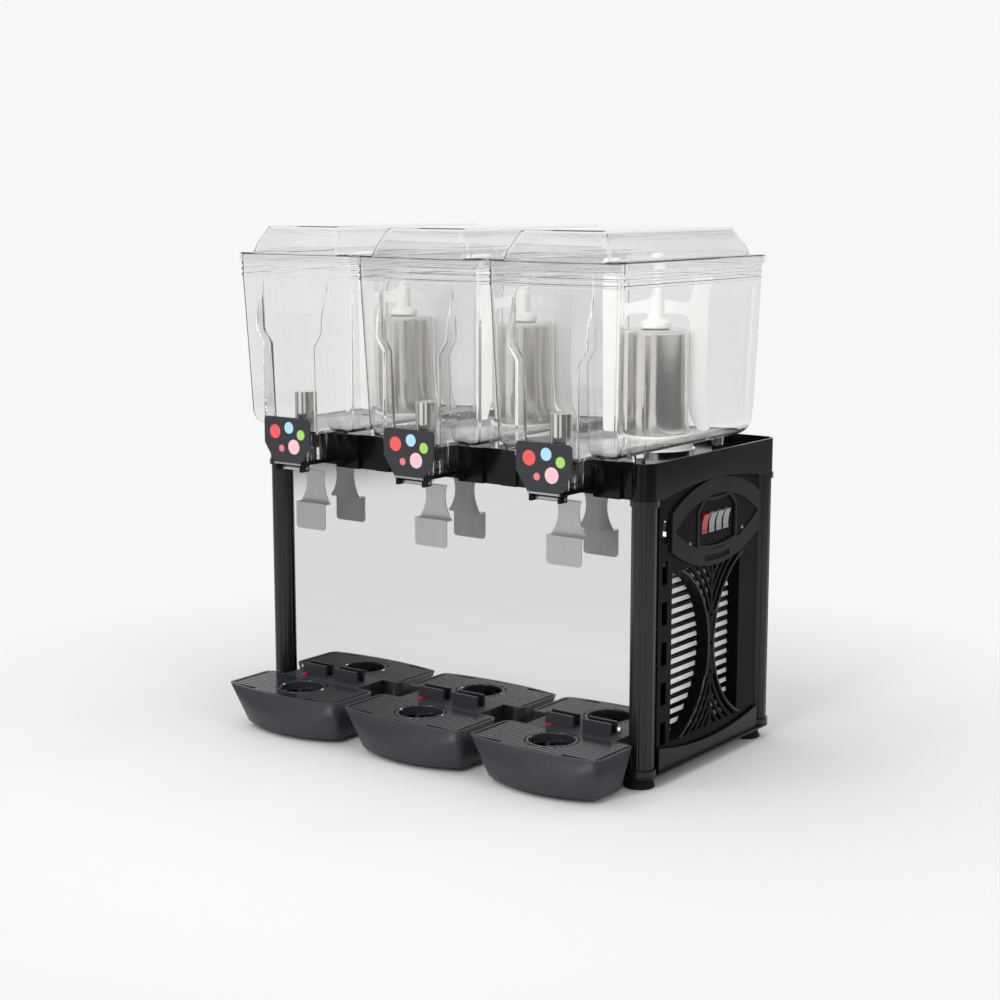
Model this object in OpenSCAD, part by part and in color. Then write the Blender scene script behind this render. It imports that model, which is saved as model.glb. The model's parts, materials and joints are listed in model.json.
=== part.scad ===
// Cold drink dispenser with three clear bowls, push-lever taps and pull-out drip trays.
// Millimetres. X runs to the right, the front faces -Y and Z is up.
// The origin lies on the counter, under the middle of the whole machine.

/* [Stations] */
// Distance between the axes of two bowls
pitch = 200; // [198:1:230]

/* [Feet and base] */
// Height of a foot
foot_h = 15; // [10:1:30]
// Diameter of a foot at the counter
foot_d = 38; // [24:1:40]
// How much narrower a foot is where it meets the base
foot_taper = 10; // [0.5:0.5:12]
// How far a foot sits inside the axis of its post
foot_inset = 8; // [0:1:20]
// Thickness of the base plate
base_t = 3; // [2:0.5:6]
// Height of a side rail at its ends
rail_h = 28; // [20:1:40]
// Depth of the hollow in the top edge of a side rail
rail_sag = 13; // [4:1:16]
// Thickness of a side rail
rail_t = 4; // [3:0.5:6]
// Height of the runner that carries a tray
runner_h = 6; // [4:1:12]
// Width of the runner that carries a tray
runner_w = 90; // [60:1:110]

/* [Posts and panels] */
// Distance from the axis of an outer bowl to the post beside it
post_offset = 86; // [85:1:110]
// Distance between the front and the rear posts
post_span = 274; // [268:1:330]
// Diameter of a post
post_d = 30; // [24:1:32]
// Number of flutes round a post
flute_count = 12; // [8:1:16]
// Width of a flute
flute_d = 4; // [2:0.5:5]
// Depth of a flute
flute_deep = 0.7; // [0.4:0.1:1.4]
// Height of the collar at each end of a post
collar_h = 7; // [4:1:12]
// How far a collar stands out from its post
collar_out = 2.5; // [1:0.5:3]
// Height of the cabinet between the base plate and the deck
cabinet_h = 330; // [322:1:400]
// Thickness of the front and rear sheets
sheet_t = 1.5; // [1:0.25:3]
// Diameter of a panel screw's dome
screw_d = 9; // [6:1:12]
// Distance from a screw to the side edge of its sheet
screw_inset = 14; // [10:1:30]
// Distance from a screw to the lower or upper edge of its sheet
screw_rise = 48; // [20:1:80]
// Length of a vent slot in the rear sheet
vent_w = 150; // [80:1:170]
// Number of vent slots in a column of the rear sheet
vent_count = 12; // [4:1:14]

/* [Side grilles] */
// Thickness of a grille
grille_t = 3; // [2:0.5:4]
// Distance from a post's axis out to the face of a grille
grille_out = 9; // [7:0.5:10]
// Narrowest width between the two windows of a grille
waist_w = 16; // [12:1:24]
// Radius of the curved edge of a window
window_r = 112; // [108:1:130]
// Distance from the windows' upper edge up to the deck
window_drop = 93; // [91:1:120]
// Height of the windows' lower edge above the base plate
window_low = 29; // [26:1:40]
// How far the waist lies behind the middle of the grille
waist_shift = 6; // [0:1:12]
// Distance from the front posts to the front window
window_front = 49; // [46:1:56]
// Distance from the rear posts to the rear window
window_rear = 64; // [50:1:70]
// Width of a curved slot
slot_w = 5; // [3:0.5:6]
// Distance from one curved slot to the next
slot_pitch = 10; // [8:0.5:14]
// Number of curved slots on each side of the waist
slot_count = 5; // [2:1:6]
// Distance between the round holes on a grille's waist
dot_pitch = 36; // [20:1:40]
// Width of a slot in the strip beside the front post
strip_w = 12; // [8:1:14]
// Height of a slot in the strip beside the front post
strip_h = 28; // [16:1:36]
// Distance from one strip slot to the next
strip_pitch = 49; // [44:1:52]
// Height of the lowest strip slot's middle above the base plate
strip_low = 43; // [36:1:60]
// Thickness of a louvre sheet
louvre_t = 1; // [0.8:0.1:2]
// Distance from one louvre slot to the next
louvre_pitch = 12.5; // [10:0.5:14]
// Height of a louvre slot
louvre_gap = 6.5; // [3:0.5:7]
// Width of a louvre sheet's plain edge
louvre_edge = 14; // [8:1:20]
// Gap between a grille and the louvre sheet behind it
louvre_back = 14; // [8:0.5:20]
// Thickness of the walls behind a grille's windows
jamb_t = 2; // [1:0.25:3]

/* [Switch plate] */
// Length of the eye-shaped plate
eye_w = 212; // [190:1:213]
// Height of the eye-shaped plate
eye_h = 108; // [90:1:109]
// Height of the plate's upright ends
eye_tip = 46; // [20:1:60]
// How far the plate lies behind the waist
eye_shift = 6; // [0:1:6]
// How far the plate's top lies below the grille's top
eye_drop = 1; // [0.5:0.5:6]
// Thickness of the eye-shaped plate
eye_t = 3; // [2:0.5:3.5]
// Width of the raised border above and below the plate's middle
eye_border = 20; // [16:1:24]
// Width of the raised border at the plate's ends
eye_end = 6; // [3:0.5:12]
// Width of the bare label slot in the border
label_w = 60; // [40:1:80]
// Height of the bare label slot in the border
label_h = 7; // [4:0.5:9]
// Width of the window in the plate
hatch_w = 87; // [74:1:92]
// Height of the window in the plate
hatch_h = 58; // [48:1:62]
// Bow of the window's lower edge
hatch_bow = 5; // [3:0.5:8]
// Width of the frame round the window
hatch_frame = 4; // [2:0.5:6]
// Width of a rocker switch
switch_w = 13; // [10:0.5:14]
// Height of a rocker switch
switch_h = 26; // [20:1:32]
// Distance from one switch to the next
switch_pitch = 17; // [15.5:0.5:17.5]
// Distance from a grille's back to the rockers' axis
switch_back = 2; // [1:0.5:4]
// Radius of the hollow in a rocker's face
rocker_r = 40; // [30:1:60]
// Angle of a rocker at either end of its throw
switch_tilt = 8; // [4:1:10]

/* [Deck] */
// Height of the deck
deck_h = 44; // [40:1:60]
// Depth of the deck's tray below its rim
deck_sink = 12; // [6:1:14]
// How far the deck reaches past the posts' axes
deck_margin = 16; // [14:0.5:20]
// Thickness of the deck's walls
deck_wall = 3; // [2:0.5:4]
// Thickness of the deck's top
deck_top_t = 4; // [3:0.5:6]
// Height of the arch in the deck's side edges
deck_arch = 11; // [3:1:12]
// Width of the deck's front beside a tap
front_w = 37; // [30:1:40]
// Depth of the hollows between the deck's fronts
hollow_h = 5; // [3:0.5:7]
// Width of the column in the middle of a hollow
column_w = 22; // [14:1:30]
// How far the column lies behind the deck's fronts
column_set = 2; // [1:0.5:3]
// Width of the shelf under a tap
shelf_w = 49; // [48:1:60]
// Thickness of the shelf under a tap
shelf_t = 5; // [4:0.5:8]
// How far the shelf's top lies below the deck's floor
shelf_drop = 19; // [17:1:21]
// How far a shelf's front stands ahead of the bowl's nose
shelf_ahead = 3.5; // [2:0.5:6]
// Height of the lip that holds a badge
lip_h = 24; // [16:1:30]
// Thickness of the lip that holds a badge
lip_t = 3; // [2:0.5:4]
// Diameter of the thermostat knob
knob_d = 13; // [8:1:20]
// How far the knob stands out from the deck's back
knob_out = 8; // [5:1:14]
// Distance from the knob's axis to the deck's side
knob_inset = 26; // [22:1:60]
// Diameter of the knob's spindle
spindle_d = 6; // [4:0.5:7]
// Number of grip flutes round the knob
grip_count = 12; // [6:1:14]
// Width of a grip flute
grip_d = 2; // [1:0.25:2]

/* [Bowl] */
// Width of a bowl at its rim
bowl_w = 186; // [170:1:190]
// Depth of a bowl from front to back at its rim
bowl_d = 327; // [318:1:340]
// Height of a bowl
bowl_h = 223; // [215:1:280]
// Thickness of a bowl's walls
bowl_wall = 3; // [2:0.25:4]
// How much each side draws in from rim to floor
side_draft = 6.5; // [4:0.5:12]
// How much the front draws in from rim to floor
front_draft = 7; // [4:0.5:14]
// How much the back draws in from rim to floor
back_draft = 4; // [2:0.5:14]
// Radius of a bowl's upright corners
bowl_corner = 7; // [6:0.5:20]
// Radius of a bowl's lower edge
foot_round = 20; // [10:1:26]
// Height of the legs under a bowl
leg_h = 18; // [15:1:24]
// Length of a leg under a bowl
leg_l = 20; // [12:1:30]
// Distance from a leg to the edge of the bowl's floor
leg_inset = 22; // [16:1:28]
// How far a bowl's front stands ahead of the front posts
bowl_overhang = 65; // [60:1:66]
// Height of the straight rim
rim_h = 28; // [26:1:36]
// Height of one ridge round the rim
ridge_h = 4; // [2:0.5:5]
// How far a ridge stands out
ridge_out = 1.2; // [0.6:0.2:1.6]
// Width of the upright nose at the tap
nose_w = 88; // [70:1:100]
// Width of the upright nose near the rim
nose_top_w = 111; // [104:1:130]
// How far the nose's face stands ahead of the rim's front
nose_out = 12; // [6:0.5:14]
// Height where the nose starts to widen
nose_step = 110; // [90:1:130]
// Height over which the nose widens
nose_flare = 18; // [10:1:30]
// Width of the tap block under a bowl
block_w = 46; // [40:1:47]
// Gap between the badge's lip and the tap block
block_play = 3.5; // [2:0.5:5]
// Depth of the tap block from front to back
block_d = 50; // [44:1:52]

/* [Lid] */
// Thickness of a lid
lid_t = 2.5; // [2:0.25:3]
// Play between a lid's skirt and the rim
lid_play = 0.5; // [0.3:0.1:0.8]
// Height of a lid's skirt below the rim's top
lid_skirt = 9; // [5:1:12]
// Height of the dome above the lid's flange
dome_h = 34; // [28:1:50]
// Width of the flange beside the dome
dome_inset = 22; // [12:1:30]
// Width of the flange at the dome's front and back
dome_end = 4; // [3.5:0.5:12]
// How much each side of the dome slopes in
dome_side = 15.5; // [8:0.5:26]
// How much the front of the dome slopes in
dome_front = 13; // [6:0.5:24]
// How much the back of the dome slopes in
dome_back = 16; // [6:0.5:24]

/* [Evaporator and stirrer] */
// Diameter of an evaporator
evap_d = 85; // [80:1:92]
// Height of an evaporator above the deck
evap_h = 153; // [138:1:158]
// Thickness of an evaporator's wall
evap_wall = 1.5; // [1:0.25:3]
// Radius of an evaporator's top edge
evap_edge = 5; // [3:0.5:12]
// Distance from a bowl's front back to the evaporator's axis
evap_back = 225; // [220:1:226]
// Width of an evaporator's foot flange
evap_flange = 7; // [4:1:9]
// Thickness of an evaporator's foot flange
flange_t = 5; // [3:0.5:7]
// Thickness of the seal round an evaporator
seal_t = 4; // [1.5:0.25:5]
// Height of the seal round an evaporator
seal_h = 16; // [14:0.5:17]
// How far the seal stands above the bowl's floor
seal_rise = 2; // [1:0.25:3]
// Diameter of a drive shaft
shaft_d = 12; // [8:0.5:14]
// Width across the two flats at a drive shaft's top
shaft_flat = 9; // [6:0.5:10]
// Length of the flats at a drive shaft's top
drive_h = 20; // [12:1:24]
// Diameter of a stirrer motor
motor_d = 64; // [40:1:72]
// Height of a stirrer motor
motor_h = 32; // [24:1:34]
// Angle between the paddles and the machine's front
stirrer_turn = 36; // [0:1:90]
// Diameter of a stirrer's hub
hub_d = 42; // [30:1:60]
// Height of a stirrer's hub
hub_h = 12; // [8:1:16]
// Gap between a stirrer's hub and the evaporator's top
hub_gap = 0.5; // [0.3:0.1:1]
// Diameter of the sleeve above the hub
sleeve_d = 21; // [18:0.5:28]
// Height of the sleeve above the hub
sleeve_h = 26; // [20:1:34]
// Height of an arm between the sleeve and a paddle
arm_h = 17; // [8:1:20]
// Gap between a paddle and the evaporator
paddle_gap = 1.5; // [1:0.5:4]
// Width of a paddle
paddle_w = 23; // [12:1:25]
// Thickness of a paddle and an arm
paddle_t = 5; // [3:0.5:7]
// Height of a paddle
paddle_h = 195; // [165:1:198]
// Height of the slanting cut at a paddle's inner foot
paddle_cut = 26; // [10:1:36]
// Size of the cut at a paddle's outer top
paddle_snip = 6; // [2:1:8]
// Gap between a paddle and the bowl's floor
paddle_lift = 4; // [2:0.5:8]
// Diameter of a stirrer's stem
stem_d = 14; // [10:1:18]
// Height of a stirrer's stem above its sleeve
stem_h = 50; // [30:1:52]
// Height of the cap on a stirrer's stem
cap_h = 22; // [14:1:26]
// Diameter of the cap at its foot
cap_d = 19; // [19:1:24]

/* [Tap] */
// Distance from a bowl's front back to the tap's axis
tap_back = 19; // [18:0.5:22]
// Diameter of a tap piston
piston_d = 27; // [20:0.5:28]
// Height of a piston above the bowl's underside
piston_up = 50; // [30:1:70]
// How deep a piston reaches into the tap block
piston_seat = 23; // [14:1:25]
// Wall of a piston
piston_wall = 1.5; // [1:0.25:3]
// Diameter of a piston's spout
spout_d = 10; // [8:0.5:12]
// Bore of a piston's spout
spout_bore = 6; // [4:0.5:6.5]
// How far a spout reaches below the shelf's top
spout_drop = 18; // [16:1:30]
// Diameter of the stop ring on a spout
stop_d = 15; // [14:0.5:17]
// Height of the stop ring on a spout
stop_h = 4; // [2:0.5:5]
// Gap round the stop ring in its hole
stop_play = 0.7; // [0.4:0.1:1]
// Thickness of a lever's sheet
lever_t = 1.5; // [1:0.25:2]
// Slope of a lever's fork at rest, and its throw
lever_slope = 12; // [10:1:13]
// Distance from a lever's pin to its leg
lever_reach = 40; // [38:1:44]
// Width of a lever's fork
fork_w = 36; // [32:1:36]
// Play between a fork's hole and the spout
fork_play = 3; // [2:0.5:4]
// Narrowest width of a lever's leg
lever_waist = 30; // [24:1:32]
// Height of a leg's waist above the step
waist_up = 28; // [24:1:32]
// Radius of the hollow in each side of a leg
waist_r = 40; // [34:1:60]
// Distance from a lever's pin down to the step in its leg
lever_drop = 51; // [44:1:60]
// How far a lever's pad stands ahead of its leg
pad_step = 10; // [6:1:14]
// Width of a lever's pad
pad_w = 50; // [44:1:60]
// Height of a lever's pad
pad_h = 34; // [24:1:50]
// Radius of a pad's lower corners
pad_corner = 5; // [2:0.5:8]
// Diameter of a lever's pin
pin_d = 4; // [3:0.5:5]
// Wall of the rolled eye round a pin
eye_wall = 1.5; // [1:0.25:1.75]
// Distance from the shelf's underside down to a pin's axis
pin_drop = 4.5; // [4.4:0.1:6]
// Distance from the shelf's front back to a pin's axis
pin_back = 10.5; // [8:0.5:12]
// Thickness of an ear that holds a pin
ear_t = 4; // [3:0.5:5]
// Width of a badge at its top
badge_w = 78; // [60:1:90]
// Width of a badge at its foot
badge_foot = 44; // [40:1:58]
// Height of a badge
badge_h = 59; // [48:1:70]
// Height of a badge's upright sides
badge_side = 34; // [20:1:38]
// Height of a badge's foot above the shelf's underside
badge_low = 2; // [0:0.5:4]
// Thickness of a badge
badge_t = 2.5; // [1.5:0.25:4]
// Radius of a badge's top corners
badge_corner = 6; // [2:1:10]

/* [Drip tray] */
// Width of a tray at its top
tray_w = 188; // [176:1:190]
// Width of a tray at its underside
tray_foot_w = 160; // [150:1:172]
// Height of a tray
tray_h = 53; // [46:1:60]
// Height of a tray's underside above the counter
tray_clear = 7; // [3:1:9]
// How far a tray reaches ahead of the front posts
tray_reach = 115; // [108:1:140]
// Distance from the front posts to a tray's wide part
tray_gap = 26; // [24:0.5:28]
// Bulge of a tray's front at its top
tray_bow = 10; // [6:1:16]
// Bulge of a tray's front at its underside
foot_bow = 22; // [16:1:30]
// How far the underside's front lies behind the top's
bow_rake = 9; // [4:1:14]
// Radius of a tray's corners
tray_corner = 12; // [9:1:18]
// Width of a tray's rim
tray_rim = 4; // [3:0.5:5]
// Width of the ledge under a cover
tray_ledge = 3; // [2:0.5:5]
// Thickness of a tray's walls
tray_wall = 3; // [2:0.25:4]
// Width of the neck at a tray's back
neck_w = 128; // [120:1:140]
// Thickness of a tray's cover
cover_t = 4; // [3:0.5:5]
// How far a cover lies below the tray's rim
cover_sink = 1.5; // [0.5:0.25:3]
// Diameter of the drain well in a cover
well_d = 61; // [50:1:64]
// How far the drain well lies behind the cover's middle
well_shift = 7.5; // [0:0.5:8]
// Wall of the drain well
well_wall = 3; // [2:0.5:4]
// Depth of the drain well
well_h = 10; // [7:1:14]
// Width of a spoke in the drain well
spoke_w = 4; // [3:0.5:6]
// Number of spokes in the drain well
spoke_count = 4; // [3:1:6]
// Width of a tab on a tray's neck
tab_w = 40; // [24:1:46]
// Height of a tab on a tray's neck
tab_h = 14; // [8:1:20]
// Thickness of a tab on a tray's neck
tab_t = 4; // [3:0.5:5]
// Gap between a float's button and the tabs
tab_set = 2.5; // [1:0.5:5]
// Gap between the two tabs of a neck
tab_split = 14; // [6:1:20]
// Diameter of a float's button
button_d = 8; // [6:0.5:9]
// How far a float's button stands above the neck
button_up = 2; // [1:0.5:5]
// Diameter of a float
float_d = 18; // [14:1:20]
// Height of a float
float_h = 8; // [5:1:12]
// Distance from a tray's axis to its float
float_x = 38; // [34:1:48]

/* [Cooling unit] */
// Diameter of the compressor
comp_d = 150; // [120:1:170]
// Height of the compressor
comp_h = 170; // [140:1:200]
// Thickness of the condenser
cond_t = 44; // [30:1:60]
// Width of the condenser
cond_w = 190; // [160:1:200]
// Height of the condenser
cond_h = 210; // [160:1:240]
// Number of fins in the condenser
fin_count = 16; // [8:1:20]
// Diameter of the fan
fan_d = 170; // [120:1:180]
// Number of fan blades
blade_count = 5; // [3:1:7]
// Diameter of the fan's motor
fan_motor_d = 60; // [40:1:70]
// Length of the fan's motor
fan_motor_l = 50; // [40:1:70]
// Diameter of the fan's shaft
fan_shaft_d = 6; // [5:0.5:8]
// Diameter of the fan's hub
fan_hub_d = 36; // [24:1:44]
// Length of the fan's hub
fan_hub_l = 14; // [10:1:18]
// Width of a fan blade
blade_w = 36; // [24:1:40]
// Pitch angle of a fan blade
blade_pitch = 28; // [15:1:35]
// Thickness of a fan blade and of the motor's bracket
bracket_t = 4; // [2:0.5:6]
// Width of the fan motor's bracket
bracket_w = 36; // [24:1:50]

/* [Hidden] */
$fn = 64;
arc_fn = 180;
edge_step = 22.5;
hull_fn = 32;
film = 0.02;
hatch_cut = 0.33;
over = 1;
run_gap = 0.05;
part_gap = 0.3;
SIDES = [-1, 1];
STATIONS = [-pitch, 0, pitch];

// Places from left to right
post_x = pitch + post_offset;
post_r = post_d / 2;
collar_r = post_r + collar_out;
deck_hw = post_x + deck_margin;
grille_x = post_x + grille_out;
grille_back_x = grille_x - grille_t;
louvre_x = grille_back_x - louvre_back - louvre_t;

// Places from front to back
total_d = tray_reach + post_span + deck_margin + knob_out;
tray_front_y = -total_d / 2;
post_front_y = tray_front_y + tray_reach;
post_rear_y = post_front_y + post_span;
mid_y = (post_front_y + post_rear_y) / 2;
deck_back_y = post_rear_y + deck_margin;
bowl_front_y = post_front_y - bowl_overhang;
nose_y = bowl_front_y - nose_out;
bowl_back_y = bowl_front_y + bowl_d;
evap_y = bowl_front_y + evap_back;
tap_y = bowl_front_y + tap_back;
shelf_front_y = nose_y - shelf_ahead;
shelf_reach = post_front_y - shelf_front_y;
panel_y = post_front_y - sheet_t / 2;
tray_back_y = post_front_y - tray_gap;
neck_back_y = panel_y - part_gap;

// Heights
base_z = foot_h + base_t;
deck_z = base_z + cabinet_h;
deck_top_z = deck_z + deck_h - deck_sink;
shelf_z = deck_top_z - shelf_drop;
shelf_low_z = shelf_z - shelf_t;
bowl_z = deck_top_z + leg_h;
bowl_floor_z = bowl_z + bowl_wall;
rim_top_z = bowl_z + bowl_h;
rim_z = rim_top_z - rim_h;
lid_z = rim_top_z + lid_t;
evap_top_z = deck_top_z + evap_h;
hub_z = evap_top_z + hub_gap;
sleeve_z = hub_z + hub_h;
sleeve_top_z = sleeve_z + sleeve_h;
stem_top_z = sleeve_top_z + stem_h;
tray_top_z = tray_clear + tray_h;
runner_z = base_z + runner_h;
cover_z = tray_top_z - cover_sink - cover_t;

// Bowl and lid
bowl_mid_y = (bowl_front_y + bowl_back_y) / 2;
foot_front_y = bowl_front_y + front_draft;
foot_back_y = bowl_back_y - back_draft;
foot_mid_y = (foot_front_y + foot_back_y) / 2;
bowl_foot_w = bowl_w - 2 * side_draft;
nose_back_y = tap_y + piston_d;
nose_top = bowl_h - rim_h;
lid_w = bowl_w + 2 * (lid_play + lid_t);
lid_d = bowl_d + 2 * (lid_play + lid_t);
lid_corner = bowl_corner + lid_play + lid_t;
hole_r = evap_d / 2 + seal_t + part_gap;
ridge_pitch = (rim_h - lid_skirt - ridge_h) / 2;
leg_y = [post_front_y + leg_l, evap_y + evap_d / 2];
leg_x = bowl_foot_w / 2 - leg_inset;

// Stirrer
paddle_r = evap_d / 2 + paddle_gap;
paddle_z = bowl_floor_z + paddle_lift;
arm_z = sleeve_top_z - arm_h;
drive_top_z = hub_z + drive_h;

// Tap
block_front_y = shelf_front_y + lip_t + block_play;
pin_y = shelf_front_y + pin_back;
pin_z = shelf_low_z - pin_drop;
tap_arm = tap_y - pin_y;
piston_low_z = bowl_z - piston_seat;
stop_z = pin_z - (tap_arm - stop_d / 2) * tan(lever_slope) + lever_t / 2 / cos(lever_slope) + part_gap;
spout_z = shelf_z - spout_drop;
stop_hole_r = stop_d / 2 + stop_play;
leg_drop = lever_reach * tan(lever_slope);
step_z = pin_z - lever_drop;
ear_x = fork_w / 2 + part_gap;
badge_z = shelf_low_z + badge_low;
lip_w = badge_foot - 2 * lip_t;

// Windows of a side grille, measured from the machine's middle line
waist_y = mid_y + waist_shift;
window_z = base_z + window_low;
window_h = cabinet_h - window_low - window_drop;
window_mid_z = window_z + window_h / 2;
window_side_y = [post_front_y + window_front, post_rear_y - window_rear];
grille_low_y = post_front_y + collar_r + part_gap;
grille_high_y = post_rear_y - collar_r - part_gap;
grille_top_z = deck_z + deck_arch - part_gap;
strip_y = post_front_y + (post_r + window_front) / 2;
strip_count = floor((cabinet_h - strip_low - strip_h) / strip_pitch);
eye_y = waist_y + eye_shift;
eye_z = grille_top_z - eye_drop - eye_h / 2;
switch_x = grille_back_x - switch_back;
SWITCHES = [-1.5, -0.5, 0.5, 1.5];

// Drip tray
neck_z = runner_z + part_gap;
neck_floor_z = neck_z + tray_wall;
float_y = tray_back_y + float_d / 2 + over;
float_z = neck_floor_z + part_gap;
tab_y = float_y + button_d / 2 + tab_set;
well_y = (tray_front_y + tray_back_y) / 2 + well_shift;

// Cooling unit
comp_x = -pitch / 2;
comp_edge = 40;
comp_foot = 15;
comp_skirt = 10;
cond_air = 40;
cond_plate = 8;
fin_t = 3;
fan_lift = 16;
fan_air = 8;
cond_x = louvre_x - cond_air - cond_t;
fan_z = base_z + fan_lift + fan_d / 2;
fan_x = cond_x - blade_w / 2 - fan_air;
fan_motor_x = fan_x - fan_hub_l / 2 - fan_air - fan_motor_l;
fan_shaft_end = fan_x + fan_hub_l / 2;

// Radius of the arc that rises by sag over a chord
function arc_radius(chord, sag) = (chord * chord / 4 + sag * sag) / (2 * sag);

// Flat rectangle with four round corners, centred
module rounded_rect(w, d, r) {
    square([w - 2 * r, d], center = true);
    square([w, d - 2 * r], center = true);
    for (x = SIDES) {
        for (y = SIDES) {
            translate([x * (w / 2 - r), y * (d / 2 - r)]) circle(r);
        }
    }
}

// Flat bar with two round ends, centred
module pill(w, h) {
    square([w, h - w], center = true);
    for (side = SIDES) {
        translate([0, side * (h - w) / 2]) circle(d = w);
    }
}

// Profile standing in the XZ plane, with its back at y and its thickness towards -Y
module upright(y, t) {
    translate([0, y, 0]) rotate([90, 0, 0]) linear_extrude(t) children();
}

// Profile standing in the YZ plane, from x on to x + t
module sideways(x, t) {
    translate([x, 0, 0]) rotate([90, 0, 90]) linear_extrude(t) children();
}

// Closed form between a rounded rectangle at z0 and another at z1
module drafted(w0, d0, y0, z0, w1, d1, y1, z1, r) {
    hull() {
        translate([0, y0, z0]) linear_extrude(film) rounded_rect(w0, d0, r, $fn = hull_fn);
        translate([0, y1, z1 - film]) linear_extrude(film) rounded_rect(w1, d1, r, $fn = hull_fn);
    }
}

// Round pin along X
module bar_x(x, y, z, d, l) {
    translate([x, y, z]) rotate([0, 90, 0]) cylinder(d = d, h = l, center = true);
}

// Base plate with its side rails and the runners that carry the trays
module base_pan() {
    rail_l = post_span - 2 * collar_r - 2 * part_gap;
    rail_arc = arc_radius(rail_l - 2 * rail_t, rail_sag);
    color("#17181a") {
        translate([0, mid_y, foot_h]) linear_extrude(base_t)
            rounded_rect(2 * (post_x + collar_r), post_span + 2 * collar_r, collar_r);
        for (side = SIDES) {
            translate([side * (grille_x + part_gap + rail_t / 2) - rail_t / 2, 0, 0]) sideways(0, rail_t)
                difference() {
                    translate([mid_y - rail_l / 2, base_z]) square([rail_l, rail_h]);
                    translate([mid_y, base_z + rail_h - rail_sag + rail_arc]) circle(rail_arc, $fn = arc_fn);
                }
        }
        for (x = STATIONS) {
            translate([x - runner_w / 2, post_front_y - collar_r, base_z])
                cube([runner_w, collar_r - sheet_t, runner_h]);
        }
    }
}

// Four rubber feet under the base plate
module feet() {
    color("#0d0d0e") for (x = SIDES) {
        for (y = [post_front_y + foot_inset, post_rear_y - foot_inset]) {
            translate([x * (post_x - foot_inset), y, 0])
                cylinder(d1 = foot_d, d2 = foot_d - foot_taper, h = foot_h);
        }
    }
}

// Fluted corner post with a collar at each end
module post(x, y) {
    color("#141518") translate([x, y, base_z]) {
        difference() {
            cylinder(r = post_r, h = cabinet_h);
            for (i = [0 : flute_count - 1]) {
                rotate((i + 0.5) * 360 / flute_count) translate([post_r + flute_d / 2 - flute_deep, 0, collar_h])
                    cylinder(d = flute_d, h = cabinet_h - 2 * collar_h);
            }
        }
        for (z = [0, cabinet_h - collar_h]) {
            translate([0, 0, z]) cylinder(r = collar_r, h = collar_h);
        }
    }
}

// Polished sheet between the front posts
module front_panel() {
    w = 2 * (post_x - collar_r - part_gap);
    color("#d9dadb") upright(panel_y + sheet_t, sheet_t)
        translate([-w / 2, base_z]) square([w, cabinet_h]);
}

// Vented sheet between the rear posts
module rear_panel() {
    w = 2 * (post_x - collar_r - part_gap);
    vent_pitch = (cabinet_h - 2 * screw_rise) / vent_count;
    color("#c9cacc") upright(post_rear_y + sheet_t / 2, sheet_t) difference() {
        translate([-w / 2, base_z]) square([w, cabinet_h]);
        for (x = [-pitch / 2, pitch / 2]) {
            for (i = [0 : vent_count - 1]) {
                translate([x, base_z + screw_rise + (i + 0.5) * vent_pitch])
                    square([vent_w, vent_pitch / 3], center = true);
            }
        }
    }
}

// Dome-headed screws of the front and rear sheets
module panel_screws() {
    x_edge = post_x - collar_r - part_gap - screw_inset;
    dome_r = arc_radius(screw_d, screw_d / 3);
    color("#b9bbbe") for (side = SIDES) {
        translate([side * x_edge, panel_y, base_z + screw_rise]) rotate([90, 0, 0]) dome(dome_r);
        for (z = [base_z + screw_rise / 2, deck_z - screw_rise / 2]) {
            translate([side * x_edge, post_rear_y + sheet_t / 2, z]) rotate([-90, 0, 0]) dome(dome_r);
        }
    }
}

// Round head, flat at its foot
module dome(dome_r) {
    intersection() {
        translate([0, 0, screw_d / 3 - dome_r]) sphere(dome_r);
        cylinder(d = screw_d + over, h = screw_d);
    }
}

// Plan of the deck, drawn in by inset, with the hollows in its front and the recess behind each tap
module deck_plan(inset) {
    front_y = post_front_y - deck_margin;
    corner = deck_margin - inset;
    hollow_x = shelf_w / 2 + front_w - inset;
    hollow_w = pitch - 2 * hollow_x;
    difference() {
        translate([0, mid_y]) rounded_rect(2 * (deck_hw - inset), post_span + 2 * corner, corner);
        for (x = STATIONS) {
            translate([x - shelf_w / 2 - inset, front_y - over])
                square([shelf_w + 2 * inset, deck_margin + over + inset]);
        }
        for (x = SIDES) {
            translate([x * pitch / 2 - hollow_w / 2, front_y - over])
                square([hollow_w, hollow_h + over + inset]);
            translate([x * (pitch + post_x + hollow_x) / 2 - (post_offset - hollow_x) / 2, front_y - over])
                square([post_offset - hollow_x, hollow_h + over + inset]);
        }
    }
    for (x = SIDES) {
        translate([x * post_x, post_front_y]) circle(corner);
        translate([x * pitch / 2 - column_w / 2 + inset, front_y + column_set + inset])
            square([column_w - 2 * inset, deck_margin]);
    }
}

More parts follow.
